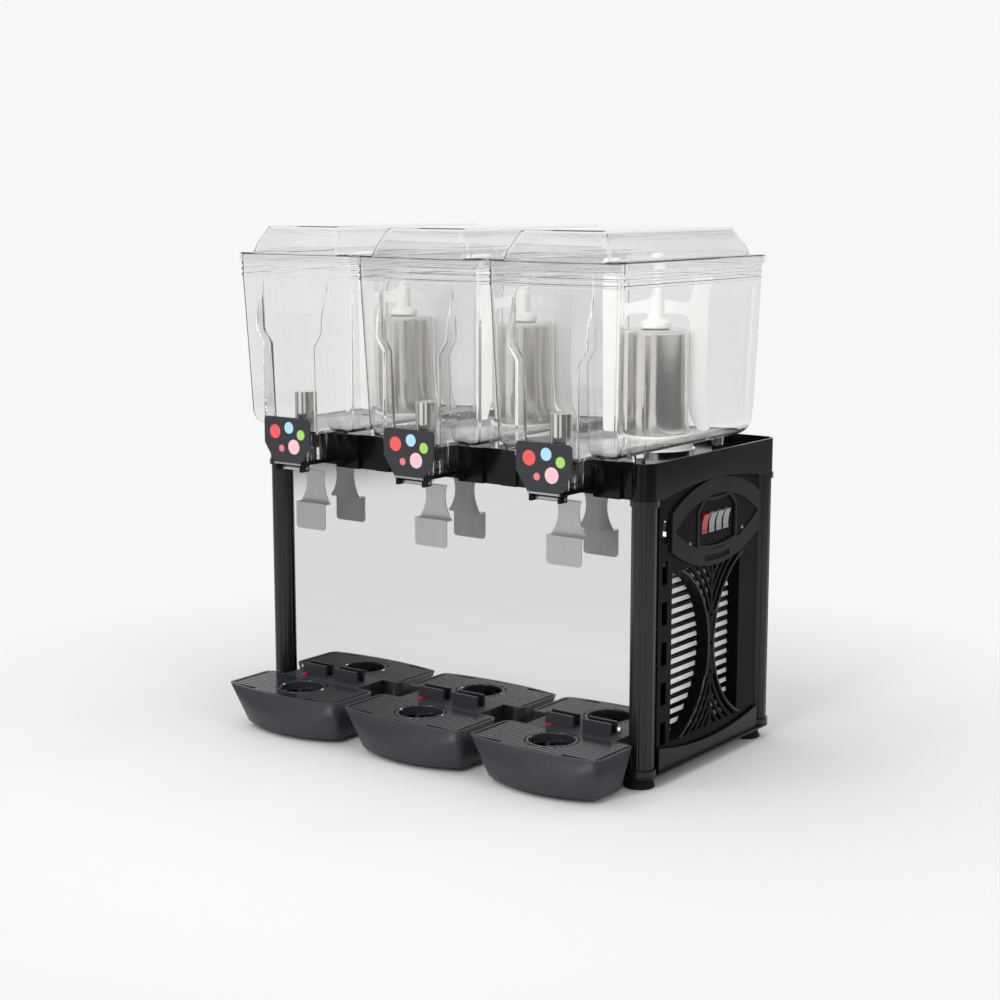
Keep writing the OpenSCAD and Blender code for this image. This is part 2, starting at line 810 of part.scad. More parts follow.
// Black deck that carries the bowls, with a shelf and two ears under each tap
module deck() {
    inner_z = deck_top_z - deck_top_t;
    arch_l = post_span - 2 * collar_r;
    arch_r = arc_radius(arch_l, deck_arch);
    color("#101113") difference() {
        union() {
            translate([0, 0, deck_z]) linear_extrude(deck_h) deck_plan(0);
            for (x = STATIONS) {
                translate([x, 0, 0]) shelf();
            }
        }
        translate([-deck_hw + deck_wall, post_front_y + collar_r, deck_z - over])
            cube([2 * (deck_hw - deck_wall), arch_l, inner_z - deck_z + over]);
        translate([-post_x + collar_r, post_front_y + deck_wall, deck_z - over])
            cube([2 * (post_x - collar_r), deck_back_y - deck_wall - post_front_y - deck_wall,
                inner_z - deck_z + over]);
        translate([0, 0, deck_top_z]) linear_extrude(deck_sink + over) deck_plan(deck_wall);
        translate([0, mid_y, deck_z + deck_arch - arch_r]) rotate([0, 90, 0])
            cylinder(r = arch_r, h = 2 * deck_hw + 2 * over, center = true, $fn = arc_fn);
        for (x = STATIONS) {
            translate([x, evap_y, inner_z - over])
                cylinder(d = shaft_d + 2 * over, h = deck_top_t + 2 * over);
        }
        translate([deck_hw - knob_inset, deck_back_y - deck_margin, deck_z + deck_h / 2]) rotate([-90, 0, 0])
            cylinder(d = spindle_d + 2 * run_gap, h = deck_margin + over);
    }
}

// Shelf under a tap: lip for the badge, hole for the spout and ears for the lever's pin
module shelf() {
    difference() {
        union() {
            translate([-shelf_w / 2, shelf_front_y, shelf_low_z])
                cube([shelf_w, shelf_reach + deck_wall, shelf_t]);
            translate([-lip_w / 2, shelf_front_y, shelf_low_z]) cube([lip_w, lip_t, lip_h]);
            for (side = SIDES) {
                translate([side * (ear_x + ear_t / 2) - ear_t / 2, shelf_front_y, pin_z - pin_d])
                    cube([ear_t, pin_back + pin_d, pin_drop + pin_d]);
            }
        }
        translate([0, tap_y, shelf_low_z - over]) cylinder(r = stop_hole_r, h = shelf_t + 2 * over);
        bar_x(0, pin_y, pin_z, pin_d + 2 * run_gap, shelf_w + 2 * over);
    }
}

// Knob on the deck's back, with its spindle
module thermostat_knob() {
    color("#1c1d1f") translate([deck_hw - knob_inset, deck_back_y + part_gap, deck_z + deck_h / 2])
        rotate([-90, 0, 0]) {
            difference() {
                cylinder(d = knob_d, h = knob_out - part_gap);
                for (i = [0 : grip_count - 1]) {
                    rotate(i * 360 / grip_count) translate([knob_d / 2 + grip_d / 5, 0, -over])
                        cylinder(d = grip_d, h = knob_out + 2 * over);
                }
            }
            translate([0, 0, -deck_wall - part_gap]) cylinder(d = spindle_d, h = deck_wall + part_gap + over);
        }
}

// Window of a grille between its curved edge and its upright edge
module grille_window(side, grow) {
    centre_y = waist_y + side * (waist_w / 2 + window_r);
    edge_y = side < 0 ? window_side_y[0] : window_side_y[1];
    intersection() {
        translate([centre_y, window_mid_z]) circle(window_r + grow, $fn = arc_fn);
        translate([side < 0 ? edge_y - grow : waist_y, window_z - grow])
            square([abs(waist_y - edge_y) + grow, window_h + 2 * grow]);
    }
}

// Walls that run from a grille's windows back to the louvre sheet
module grille_jambs() {
    depth = louvre_back - part_gap;
    for (side = SIDES) {
        sideways(grille_back_x - depth, depth + grille_t / 2) difference() {
            grille_window(side, jamb_t);
            grille_window(side, 0);
        }
    }
}

// Slots that run beside the windows' curved edges, above and below the waist
module grille_slots(side) {
    centre_y = waist_y + side * (waist_w / 2 + window_r);
    reach = abs(waist_y - window_side_y[side < 0 ? 0 : 1]) - slot_w;
    fan_h = window_h / 2 - dot_pitch - slot_w;
    intersection() {
        translate([centre_y, window_mid_z]) for (i = [1 : slot_count]) {
            difference() {
                circle(window_r + i * slot_pitch, $fn = arc_fn);
                circle(window_r + i * slot_pitch - slot_w, $fn = arc_fn);
            }
        }
        for (z = [window_z, window_z + window_h - fan_h]) {
            translate([side < 0 ? waist_y - reach : waist_y + slot_w / 2, z])
                square([reach - slot_w / 2, fan_h]);
        }
    }
}

// Plan of a side grille; the strip of slots stands beside the front post
module grille_plan(holes) {
    difference() {
        translate([grille_low_y, base_z]) square([grille_high_y - grille_low_y, grille_top_z - base_z]);
        for (side = SIDES) {
            grille_window(side, 0);
            grille_slots(side);
        }
        for (i = [0 : strip_count - 1]) {
            translate([strip_y, base_z + strip_low + i * strip_pitch]) square([strip_w, strip_h], center = true);
        }
        translate([strip_y, base_z + strip_low + strip_count * strip_pitch]) pill(strip_w, strip_h);
        translate([waist_y, window_mid_z]) for (i = [-1 : 1]) {
            translate([0, i * dot_pitch]) circle(d = slot_w);
        }
        if (holes) {
            for (i = SWITCHES) {
                translate([eye_y + i * switch_pitch, eye_z])
                    square([switch_w + 4 * part_gap, switch_h + 4 * part_gap], center = true);
            }
        }
    }
}

// Black side grilles; the right one holds the switches
module side_grille_left() {
    color("#151618") mirror([1, 0, 0]) {
        sideways(grille_back_x, grille_t) grille_plan(false);
        grille_jambs();
    }
}

module side_grille_right() {
    color("#151618") {
        sideways(grille_back_x, grille_t) grille_plan(true);
        grille_jambs();
    }
}

// Bright louvre sheet behind a grille
module louvre(side) {
    low = window_z - louvre_edge / 2;
    rows = floor((window_h + louvre_edge) / louvre_pitch);
    w = grille_high_y - grille_low_y;
    color("#d4d6d8") translate([side < 0 ? -louvre_x - louvre_t : louvre_x, 0, 0]) sideways(0, louvre_t)
        difference() {
            translate([grille_low_y, base_z]) square([w, window_low + window_h + louvre_edge]);
            for (i = [0 : rows - 1]) {
                translate([grille_low_y + louvre_edge, low + i * louvre_pitch])
                    square([w - 2 * louvre_edge, louvre_gap]);
            }
        }
}

// Eye shape of the given length, height and height at its ends, centred
module eye_shape(w, h, tip) {
    r = arc_radius(w, (h - tip) / 2);
    intersection() {
        translate([0, h / 2 - r]) circle(r, $fn = arc_fn);
        translate([0, r - h / 2]) circle(r, $fn = arc_fn);
        square([w, h], center = true);
    }
}

// Window with cut upper corners, a sagging upper edge and a bowed lower edge
module hatch(grow) {
    w = hatch_w / 2 + grow;
    h = hatch_h / 2 + grow;
    cut = w * hatch_cut;
    sag = hatch_bow / 2;
    low_r = arc_radius(2 * w, hatch_bow);
    top_r = arc_radius(2 * (w - cut), sag);
    difference() {
        intersection() {
            polygon([
                [-w, -h], [w, -h], [w, h - cut], [w - cut - sag, h + sag], [cut + sag - w, h + sag], [-w, h - cut]
            ]);
            translate([0, low_r - h]) circle(low_r, $fn = arc_fn);
        }
        translate([0, h - sag + top_r]) circle(top_r, $fn = arc_fn);
    }
}

// Bare slot for a label in the lower border of the plate
module label_slot() {
    low_h = eye_h - eye_border + label_h;
    intersection() {
        difference() {
            eye_shape(eye_w, low_h, eye_tip);
            eye_shape(eye_w, low_h - 2 * label_h, eye_tip);
        }
        translate([-label_w / 2, -eye_h / 2]) square([label_w, eye_h / 2]);
    }
}

// Eye-shaped plate on a grille, with the frame of the switch window
module eye_plate(open) {
    difference() {
        union() {
            sideways(grille_x, eye_t) translate([eye_y, eye_z]) {
                difference() {
                    eye_shape(eye_w, eye_h, eye_tip);
                    eye_shape(eye_w - 2 * eye_end, eye_h - 2 * eye_border, 0);
                    label_slot();
                }
                hatch(hatch_frame);
            }
            sideways(grille_x, eye_t / 2) translate([eye_y, eye_z])
                eye_shape(eye_w - eye_end, eye_h - label_h, eye_tip / 2);
        }
        if (open) {
            sideways(grille_back_x, grille_t + 2 * eye_t) translate([eye_y, eye_z]) hatch(0);
        }
    }
}

module switch_plate() {
    color("#26282b") eye_plate(true);
}

module blank_plate() {
    color("#26282b") mirror([1, 0, 0]) eye_plate(false);
}

// Rocker switch, pressed in at its foot
module rocker(i) {
    depth = grille_x - switch_x + eye_t / 2;
    height = switch_h - 4 * part_gap;
    boss_r = 2 * switch_back;
    color(i == 0 ? "#c4202b" : "#e8e8e6") translate([switch_x, eye_y + SWITCHES[i] * switch_pitch, eye_z])
        rotate([0, switch_tilt, 0]) rotate([90, 0, 0]) translate([0, 0, -switch_w / 2])
            linear_extrude(switch_w) {
                difference() {
                    translate([-switch_back, -height / 2]) square([depth + switch_back, height]);
                    translate([depth + rocker_r - eye_t / 2, 0]) circle(rocker_r, $fn = arc_fn);
                }
                circle(boss_r);
            }
}

// Hermetic compressor on its foot plate
module compressor() {
    r = comp_d / 2;
    color("#1b1c1e") translate([comp_x, mid_y, base_z]) {
        rotate_extrude() {
            square([r - comp_edge, comp_h]);
            translate([0, comp_skirt]) square([r, comp_h - comp_skirt - comp_edge]);
            translate([r - comp_edge, comp_h - comp_edge]) intersection() {
                circle(comp_edge);
                square(comp_edge);
            }
        }
        translate([-r - comp_foot, -r / 2, 0]) cube([2 * (r + comp_foot), r, comp_skirt / 2]);
    }
}

// Condenser: a block of fins between two tube plates
module condenser() {
    fin_pitch = (cond_h - fin_t) / fin_count;
    color("#8d9094") translate([cond_x, mid_y - cond_w / 2, base_z]) {
        cube([cond_t, cond_plate, cond_h]);
        translate([0, cond_w - cond_plate, 0]) cube([cond_t, cond_plate, cond_h]);
        for (i = [0 : fin_count]) {
            translate([0, cond_plate / 2, i * fin_pitch]) cube([cond_t, cond_w - cond_plate, fin_t]);
        }
    }
}

// Fan motor on its bracket, with its shaft
module fan_motor() {
    color("#2b2d30") translate([0, mid_y, 0]) {
        bar_x(fan_motor_x + fan_motor_l / 2, 0, fan_z, fan_motor_d, fan_motor_l);
        translate([fan_motor_x, -bracket_w / 2, base_z]) cube([bracket_t, bracket_w, fan_z - base_z]);
        translate([fan_motor_x - bracket_w / 2, -bracket_w, base_z])
            cube([2 * bracket_w, 2 * bracket_w, bracket_t]);
        bar_x((fan_motor_x + fan_shaft_end) / 2, 0, fan_z, fan_shaft_d, fan_shaft_end - fan_motor_x);
    }
}

// Fan wheel: a hub with pitched blades
module fan_rotor() {
    blade_l = (fan_d - fan_hub_d) / 2;
    color("#3a3c40") translate([fan_x, mid_y, fan_z]) rotate([0, 90, 0]) difference() {
        union() {
            cylinder(d = fan_hub_d, h = fan_hub_l, center = true);
            for (i = [0 : blade_count - 1]) {
                rotate(i * 360 / blade_count) translate([fan_hub_d / 2 - over, 0, 0])
                    rotate([blade_pitch, 0, 0]) translate([0, -blade_w / 2, -bracket_t / 4])
                        cube([blade_l, blade_w, bracket_t / 2]);
            }
        }
        cylinder(d = fan_shaft_d + 2 * run_gap, h = fan_hub_l + 2 * over, center = true);
    }
}

// Steel evaporator can, open below and bored for the drive shaft
module evaporator(x) {
    r = evap_d / 2;
    color("#a8a9a8") translate([x, evap_y, deck_top_z]) difference() {
        rotate_extrude() {
            square([r - evap_edge, evap_h]);
            square([r, evap_h - evap_edge]);
            translate([r - evap_edge, evap_h - evap_edge]) circle(evap_edge);
            square([r + evap_flange, flange_t]);
        }
        translate([0, 0, -over]) cylinder(r = r - evap_wall, h = evap_h - evap_edge + over);
        cylinder(d = shaft_d + 2 * run_gap, h = evap_h + over);
    }
}

// White seal rings where the bowls pass over the evaporators
module bowl_seals() {
    color("#e9e9e6") for (x = STATIONS) {
        translate([x, evap_y, deck_top_z + flange_t]) difference() {
            cylinder(d = evap_d + 2 * seal_t, h = seal_h + seal_rise);
            translate([0, 0, -over]) cylinder(d = evap_d, h = seal_h + seal_rise + 2 * over);
        }
    }
}

// Motors under the deck that turn the stirrers
module stirrer_motors() {
    color("#3b3d40") for (x = STATIONS) {
        translate([x, evap_y, deck_top_z - deck_top_t - motor_h]) difference() {
            cylinder(d = motor_d, h = motor_h);
            translate([0, 0, motor_h / 3]) cylinder(d = shaft_d + 2 * run_gap, h = motor_h);
        }
    }
}

// Shaft from a motor up through the evaporator, with two flats at its top
module drive_shaft(x) {
    low_z = deck_top_z - deck_top_t - motor_h * 2 / 3 + part_gap;
    color("#b4b6b8") translate([x, evap_y, 0]) {
        translate([0, 0, low_z]) cylinder(d = shaft_d, h = evap_top_z - low_z);
        translate([0, 0, evap_top_z - over]) flatted(shaft_d, shaft_flat, drive_top_z - evap_top_z + over);
    }
}

// Round bar with two flats
module flatted(d, flat, h) {
    intersection() {
        cylinder(d = d, h = h);
        translate([-flat / 2, -d, 0]) cube([flat, 2 * d, h]);
    }
}

// Outline of the upright nose of a bowl, drawn in by inset
module nose_outline(inset, low) {
    a = nose_w / 2 - inset;
    b = nose_top_w / 2 - inset;
    polygon([[-a, low], [a, low], [a, nose_step], [b, nose_step + nose_flare], [b, nose_top - inset],
        [-b, nose_top - inset], [-b, nose_step + nose_flare], [-a, nose_step]]);
}

// Closed form of a bowl from its round lower edge up to its rim, drawn in by inset
module bowl_form(inset) {
    floor_d = foot_back_y - foot_front_y;
    edge_r = foot_round - inset;
    corner = bowl_corner - inset;
    hull() {
        for (a = [0 : edge_step : 90]) {
            draw = 2 * inset + 2 * edge_r * (1 - sin(a));
            translate([0, foot_mid_y, bowl_z + inset + edge_r * (1 - cos(a))]) linear_extrude(film)
                rounded_rect(bowl_foot_w - draw, floor_d - draw, corner, $fn = hull_fn);
        }
        translate([0, bowl_mid_y, rim_z - film]) linear_extrude(film)
            rounded_rect(bowl_w - 2 * inset, bowl_d - 2 * inset, corner, $fn = hull_fn);
    }
}

// Clear bowl: drafted body, upright nose, ridged rim, tap block and legs
module bowl(x) {
    wall2 = 2 * bowl_wall;
    color("#dfe7ea", 0.35) translate([x, 0, 0]) difference() {
        union() {
            bowl_form(0);
            translate([0, bowl_mid_y, rim_z]) linear_extrude(rim_h) rounded_rect(bowl_w, bowl_d, bowl_corner);
            for (i = [0 : 2]) {
                translate([0, bowl_mid_y, rim_z + i * ridge_pitch]) linear_extrude(ridge_h)
                    rounded_rect(bowl_w + 2 * ridge_out, bowl_d + 2 * ridge_out, bowl_corner + ridge_out);
            }
            translate([0, 0, bowl_z]) upright(nose_back_y, nose_back_y - nose_y) nose_outline(0, 0);
            translate([-block_w / 2, block_front_y, shelf_z])
                cube([block_w, block_d, bowl_floor_z - shelf_z]);
            for (y = leg_y) {
                for (side = SIDES) {
                    translate([side * leg_x - bowl_wall, y - leg_l / 2, deck_top_z])
                        cube([wall2, leg_l, leg_h + bowl_wall / 2]);
                }
            }
        }
        bowl_form(bowl_wall);
        translate([0, bowl_mid_y, rim_z - film]) linear_extrude(rim_h + over)
            rounded_rect(bowl_w - wall2, bowl_d - wall2, bowl_corner - bowl_wall);
        translate([0, 0, bowl_z]) upright(nose_back_y + over, nose_back_y + over - nose_y - bowl_wall)
            nose_outline(bowl_wall, bowl_wall);
        translate([0, tap_y, piston_low_z]) cylinder(d = piston_d + 2 * run_gap, h = bowl_h);
        translate([0, tap_y, shelf_z - over])
            cylinder(r = stop_hole_r, h = piston_low_z - shelf_z + 2 * over);
        translate([0, evap_y, bowl_z - over]) cylinder(r = hole_r, h = bowl_wall + 2 * over);
    }
}

// Clear lid: flange with a skirt round the rim and a sloping dome
module lid(x) {
    dome_w = lid_w - 2 * dome_inset;
    dome_d = lid_d - 2 * dome_end;
    top_w = dome_w - 2 * dome_side;
    top_d = dome_d - dome_front - dome_back;
    top_y = bowl_mid_y + (dome_front - dome_back) / 2;
    wall2 = 2 * lid_t;
    color("#dfe7ea", 0.35) translate([x, 0, 0]) difference() {
        union() {
            translate([0, bowl_mid_y, rim_top_z - lid_skirt]) linear_extrude(lid_skirt + lid_t)
                rounded_rect(lid_w, lid_d, lid_corner);
            drafted(dome_w, dome_d, bowl_mid_y, rim_top_z, top_w, top_d, top_y, lid_z + dome_h, bowl_corner);
        }
        translate([0, bowl_mid_y, rim_top_z - lid_skirt - over]) linear_extrude(lid_skirt + over)
            rounded_rect(lid_w - wall2, lid_d - wall2, bowl_corner + lid_play);
        drafted(dome_w - wall2, dome_d - wall2, bowl_mid_y, rim_top_z - over,
            top_w - wall2, top_d - wall2, top_y, lid_z + dome_h - lid_t, bowl_corner - lid_t);
    }
}

// White stirrer: hub and sleeve on the shaft, two arms, two paddles and a capped stem
module stirrer(x) {
    blade = [[0, paddle_cut], [paddle_cut / 3, 0], [paddle_w, 0], [paddle_w, paddle_h - paddle_snip],
        [paddle_w - paddle_snip, paddle_h], [0, paddle_h]];
    color("#eff0ee") translate([x, evap_y, 0]) difference() {
        union() {
            translate([0, 0, hub_z]) cylinder(d = hub_d, h = hub_h);
            translate([0, 0, hub_z]) cylinder(d = sleeve_d, h = hub_h + sleeve_h);
            translate([0, 0, sleeve_top_z - over]) cylinder(d = stem_d, h = stem_h - cap_h + 2 * over);
            translate([0, 0, stem_top_z - cap_h]) cylinder(d1 = cap_d, d2 = stem_d - over, h = cap_h);
            rotate(stirrer_turn) for (side = [0, 180]) {
                rotate(side) {
                    translate([0, -paddle_t / 2, arm_z]) cube([paddle_r + over, paddle_t, arm_h]);
                    translate([paddle_r, 0, paddle_z]) upright(paddle_t / 2, paddle_t) polygon(blade);
                }
            }
        }
        translate([0, 0, hub_z - over])
            flatted(shaft_d + 2 * part_gap, shaft_flat + 2 * part_gap, drive_h + over + part_gap);
    }
}

// Steel tap piston with its spout and stop ring
module piston(x) {
    low_z = piston_low_z + part_gap;
    top_z = bowl_z + piston_up;
    color("#b0b1b0") translate([x, tap_y, 0]) difference() {
        union() {
            translate([0, 0, low_z]) cylinder(d = piston_d, h = top_z - low_z);
            translate([0, 0, spout_z]) cylinder(d = spout_d, h = low_z - spout_z + over);
            translate([0, 0, stop_z]) cylinder(d = stop_d, h = stop_h);
        }
        translate([0, 0, low_z + 2 * piston_wall])
            cylinder(d = piston_d - 2 * piston_wall, h = top_z - low_z - 3 * piston_wall);
        translate([0, 0, spout_z - over])
            cylinder(d = spout_bore, h = low_z + 3 * piston_wall - spout_z + over);
    }
}

// Side view of a lever: one sheet bent at the leg's top and twice at the step
module lever_profile() {
    half = lever_t / 2;
    rise = half / cos(lever_slope);
    leg_y = pin_y + lever_reach;
    pad_y = leg_y - pad_step;
    polygon([
        [pin_y, pin_z + rise],
        [leg_y + half, pin_z - (lever_reach + half) * tan(lever_slope) + rise],
        [leg_y + half, step_z - half],
        [pad_y + half, step_z - half],
        [pad_y + half, step_z - pad_h],
        [pad_y - half, step_z - pad_h],
        [pad_y - half, step_z + half],
        [leg_y - half, step_z + half],
        [leg_y - half, pin_z - (lever_reach - half) * tan(lever_slope) - rise],
        [pin_y, pin_z - rise]
    ]);
}

// Front view of a lever: fork, waisted leg and pad with round lower corners
module lever_outline() {
    waist_z = step_z + waist_up;
    difference() {
        union() {
            translate([-fork_w / 2, waist_z]) square([fork_w, pin_z + pin_d - waist_z]);
            translate([-pad_w / 2, step_z]) square([pad_w, waist_up]);
        }
        for (side = SIDES) {
            translate([side * (lever_waist / 2 + waist_r), waist_z]) circle(waist_r, $fn = arc_fn);
        }
    }
    intersection() {
        translate([-pad_w / 2, step_z - pad_h]) square([pad_w, pad_h + lever_t]);
        translate([0, step_z - pad_h / 2 + pad_corner])
            rounded_rect(pad_w, pad_h + 2 * pad_corner, pad_corner);
    }
}

// Sheet-steel tap lever with a rolled eye round its pin and a hole for the spout
module lever(x) {
    color("#c3c4c6") translate([x, 0, 0]) difference() {
        union() {
            intersection() {
                sideways(-pad_w / 2 - over, pad_w + 2 * over) lever_profile();
                upright(post_front_y, post_front_y - shelf_front_y + pad_w) lever_outline();
            }
            bar_x(0, pin_y, pin_z, pin_d + 2 * run_gap + 2 * eye_wall, fork_w);
        }
        bar_x(0, pin_y, pin_z, pin_d + 2 * run_gap, fork_w + 2 * over);
        translate([0, tap_y, pin_z - 2 * leg_drop])
            cylinder(d = spout_d + fork_play, h = 2 * leg_drop + pin_drop);
    }
}

// Pins of the three levers
module lever_pins() {
    color("#c3c4c6") for (x = STATIONS) {
        bar_x(x, pin_y, pin_z, pin_d, 2 * (ear_x + ear_t));
    }
}

// Badge plates ahead of the taps
module tap_badges() {
    color("#3f4248") for (x = STATIONS) {
        translate([x, 0, badge_z]) upright(shelf_front_y, badge_t) {
            polygon([[-badge_foot / 2, 0], [badge_foot / 2, 0], [badge_w / 2, badge_h - badge_side],
                [badge_w / 2, badge_h - badge_corner], [-badge_w / 2, badge_h - badge_corner],
                [-badge_w / 2, badge_h - badge_side]]);
            translate([0, badge_h - badge_side / 2]) rounded_rect(badge_w, badge_side, badge_corner);
        }
    }
}

// Outline of a tray at one height, drawn in by inset; its front bulges by bow
module tray_plan(w, front_y, bow, inset) {
    r = arc_radius(w, bow);
    side_x = w / 2 - tray_corner;
    back_y = tray_back_y - tray_corner;
    reach = r - tray_corner;
    corner_y = front_y + r - sqrt(reach * reach - side_x * side_x);
    meet_x = side_x * (r - inset) / reach;
    intersection() {
        translate([0, front_y + r]) circle(r - inset, $fn = arc_fn);
        translate([-meet_x, front_y]) square([2 * meet_x, corner_y - front_y]);
    }
    translate([inset - w / 2, corner_y]) square([w - 2 * inset, back_y - corner_y]);
    translate([-side_x, corner_y]) square([2 * side_x, tray_back_y - inset - corner_y]);
    for (x = SIDES) {
        for (y = [corner_y, back_y]) {
            translate([x * side_x, y]) circle(tray_corner - inset);
        }
    }
}

// Closed form of a tray, drawn in by inset, with its floor raised by rise
module tray_form(inset, rise, top_z) {
    hull() {
        translate([0, 0, tray_clear + rise]) linear_extrude(film)
            tray_plan(tray_foot_w, tray_front_y + bow_rake, foot_bow, inset, $fn = hull_fn);
        translate([0, 0, top_z - film]) linear_extrude(film)
            tray_plan(tray_w, tray_front_y, tray_bow, inset, $fn = hull_fn);
    }
}

// Drip tray: bowed trough, ledge for the cover and a roofed neck at the back
module tray(x) {
    neck_l = neck_back_y - tray_back_y + tray_rim + tray_ledge;
    neck_y = neck_back_y - neck_l;
    color("#2a2c30") translate([x, 0, 0]) difference() {
        union() {
            tray_form(0, 0, tray_top_z);
            translate([-neck_w / 2, neck_y, neck_z]) cube([neck_w, neck_l, tray_top_z - neck_z]);
            for (side = SIDES) {
                translate([side * (tab_split + tab_w) / 2 - tab_w / 2, tab_y, tray_top_z - over])
                    cube([tab_w, tab_t, tab_h + over]);
            }
        }
        tray_form(tray_rim + tray_ledge, tray_wall, cover_z + film);
        translate([0, 0, cover_z]) linear_extrude(cover_t + cover_sink + over)
            tray_plan(tray_w, tray_front_y, tray_bow, tray_rim);
        translate([-neck_w / 2 + tray_wall, neck_y - over, neck_floor_z])
            cube([neck_w - 2 * tray_wall, neck_l - tray_wall + over, cover_z - neck_floor_z]);
        translate([-float_x, float_y, cover_z - over])
            cylinder(d = button_d + 2 * run_gap, h = cover_t + cover_sink + 2 * over);
    }
}

// Half-round spoke from the middle of a drain well to its wall
module spoke() {
    r = (well_d - well_wall - spoke_w) / 4;
    translate([r, 0]) intersection() {
        difference() {
            circle(r + spoke_w / 2);
            circle(r - spoke_w / 2);
        }
        translate([-2 * r, 0]) square([4 * r, 2 * r]);
    }
}

// Cover of a tray with a spoked drain well
module tray_cover(x) {
    play = tray_rim + part_gap;
    color("#303338") translate([x, 0, 0]) {
        difference() {
            union() {
                translate([0, 0, cover_z]) linear_extrude(cover_t)
                    tray_plan(tray_w, tray_front_y, tray_bow, play);
                translate([0, well_y, cover_z + cover_t - well_h]) cylinder(d = well_d, h = well_h);
            }
            translate([0, well_y, cover_z + cover_t - well_h - over])
                cylinder(d = well_d - 2 * well_wall, h = well_h + 2 * over);
        }
        translate([0, well_y, cover_z + cover_t - well_h]) linear_extrude(well_wall)
            for (i = [0 : spoke_count - 1]) {
                rotate(i * 360 / spoke_count) spoke();
            }
    }
}

// Red level float under the neck's roof, with its button
module float_button(x) {
    color("#c21f26") translate([x - float_x, float_y, float_z]) {
        cylinder(d = float_d, h = float_h);
        cylinder(d = button_d, h = tray_top_z + button_up - float_z);
    }
}

base_pan();
feet();
post(-post_x, post_front_y);  // post_front_left
post(post_x, post_front_y);  // post_front_right
post(-post_x, post_rear_y);  // post_rear_left
post(post_x, post_rear_y);  // post_rear_right
front_panel();
rear_panel();
panel_screws();
deck();
side_grille_left();
side_grille_right();
louvre(-1);  // louvre_left
louvre(1);  // louvre_right
switch_plate();
blank_plate();
rocker(0);  // switch_1
rocker(1);  // switch_2
rocker(2);  // switch_3
rocker(3);  // switch_4
thermostat_knob();
compressor();
condenser();
fan_motor();
fan_rotor();
evaporator(STATIONS[0]);  // evaporator_left
evaporator(STATIONS[1]);  // evaporator_middle
evaporator(STATIONS[2]);  // evaporator_right
bowl_seals();
stirrer_motors();
drive_shaft(STATIONS[0]);  // drive_shaft_left
drive_shaft(STATIONS[1]);  // drive_shaft_middle
drive_shaft(STATIONS[2]);  // drive_shaft_right
tap_badges();
lever_pins();
bowl(STATIONS[0]);  // bowl_left
bowl(STATIONS[1]);  // bowl_middle
bowl(STATIONS[2]);  // bowl_right
lid(STATIONS[0]);  // lid_left
lid(STATIONS[1]);  // lid_middle
lid(STATIONS[2]);  // lid_right
stirrer(STATIONS[0]);  // stirrer_left
stirrer(STATIONS[1]);  // stirrer_middle
stirrer(STATIONS[2]);  // stirrer_right
piston(STATIONS[0]);  // piston_left
piston(STATIONS[1]);  // piston_middle
piston(STATIONS[2]);  // piston_right
lever(STATIONS[0]);  // lever_left
lever(STATIONS[1]);  // lever_middle
lever(STATIONS[2]);  // lever_right
tray(STATIONS[0]);  // tray_left
tray(STATIONS[1]);  // tray_middle
tray(STATIONS[2]);  // tray_right
tray_cover(STATIONS[0]);  // tray_cover_left
tray_cover(STATIONS[1]);  // tray_cover_middle
tray_cover(STATIONS[2]);  // tray_cover_right
float_button(STATIONS[0]);  // float_left
float_button(STATIONS[1]);  // float_middle
float_button(STATIONS[2]);  // float_right
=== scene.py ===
# %% [markdown]
# # A counter-top drink dispenser
#
# Three clear bowls stand side by side on a black cabinet. Each has a domed lid, a steel cooling can
# with a white stirrer, a push-lever tap and a pull-out drip tray. The CAD frame already holds every
# piece at its real size and place. This lesson gives the pieces their finish, and models again
# those whose soft edges the solids leave out.

# %% Load the frame
import json
import math

import bmesh
import bpy
from mathutils import Matrix, Vector

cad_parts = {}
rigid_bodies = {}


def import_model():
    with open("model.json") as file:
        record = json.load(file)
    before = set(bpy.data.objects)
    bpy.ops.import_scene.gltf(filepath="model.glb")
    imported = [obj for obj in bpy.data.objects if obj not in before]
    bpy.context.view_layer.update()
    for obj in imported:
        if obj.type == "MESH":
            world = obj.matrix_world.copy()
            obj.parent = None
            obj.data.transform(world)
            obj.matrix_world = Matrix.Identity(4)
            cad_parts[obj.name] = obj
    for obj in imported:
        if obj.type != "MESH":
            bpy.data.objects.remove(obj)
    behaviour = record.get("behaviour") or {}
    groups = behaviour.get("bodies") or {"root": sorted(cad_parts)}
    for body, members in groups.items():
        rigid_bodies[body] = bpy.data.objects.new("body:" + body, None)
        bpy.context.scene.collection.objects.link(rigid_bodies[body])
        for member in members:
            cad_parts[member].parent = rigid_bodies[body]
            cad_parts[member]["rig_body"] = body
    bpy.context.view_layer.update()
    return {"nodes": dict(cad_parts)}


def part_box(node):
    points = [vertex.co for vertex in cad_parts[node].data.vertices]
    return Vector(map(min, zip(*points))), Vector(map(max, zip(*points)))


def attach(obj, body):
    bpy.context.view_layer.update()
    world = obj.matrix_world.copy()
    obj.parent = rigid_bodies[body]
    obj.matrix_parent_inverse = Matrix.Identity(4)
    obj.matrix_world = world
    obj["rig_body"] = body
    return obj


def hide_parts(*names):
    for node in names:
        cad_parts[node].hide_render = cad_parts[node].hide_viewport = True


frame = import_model()
MM = 0.001
STATIONS = ("left", "middle", "right")
station_x = {}
for station in STATIONS:
    low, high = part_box("evaporator_" + station)
    station_x[station] = (low.x + high.x) / 2

# %% [markdown]
# ## Camera
#
# The photograph looks at the machine from its front right, a little from above. A camera can be
# placed by eye, or by matching corners whose places are known. The second way was used: lid
# corners, posts and feet were matched, and the eye's place, its two angles and the focal length
# came out of that.

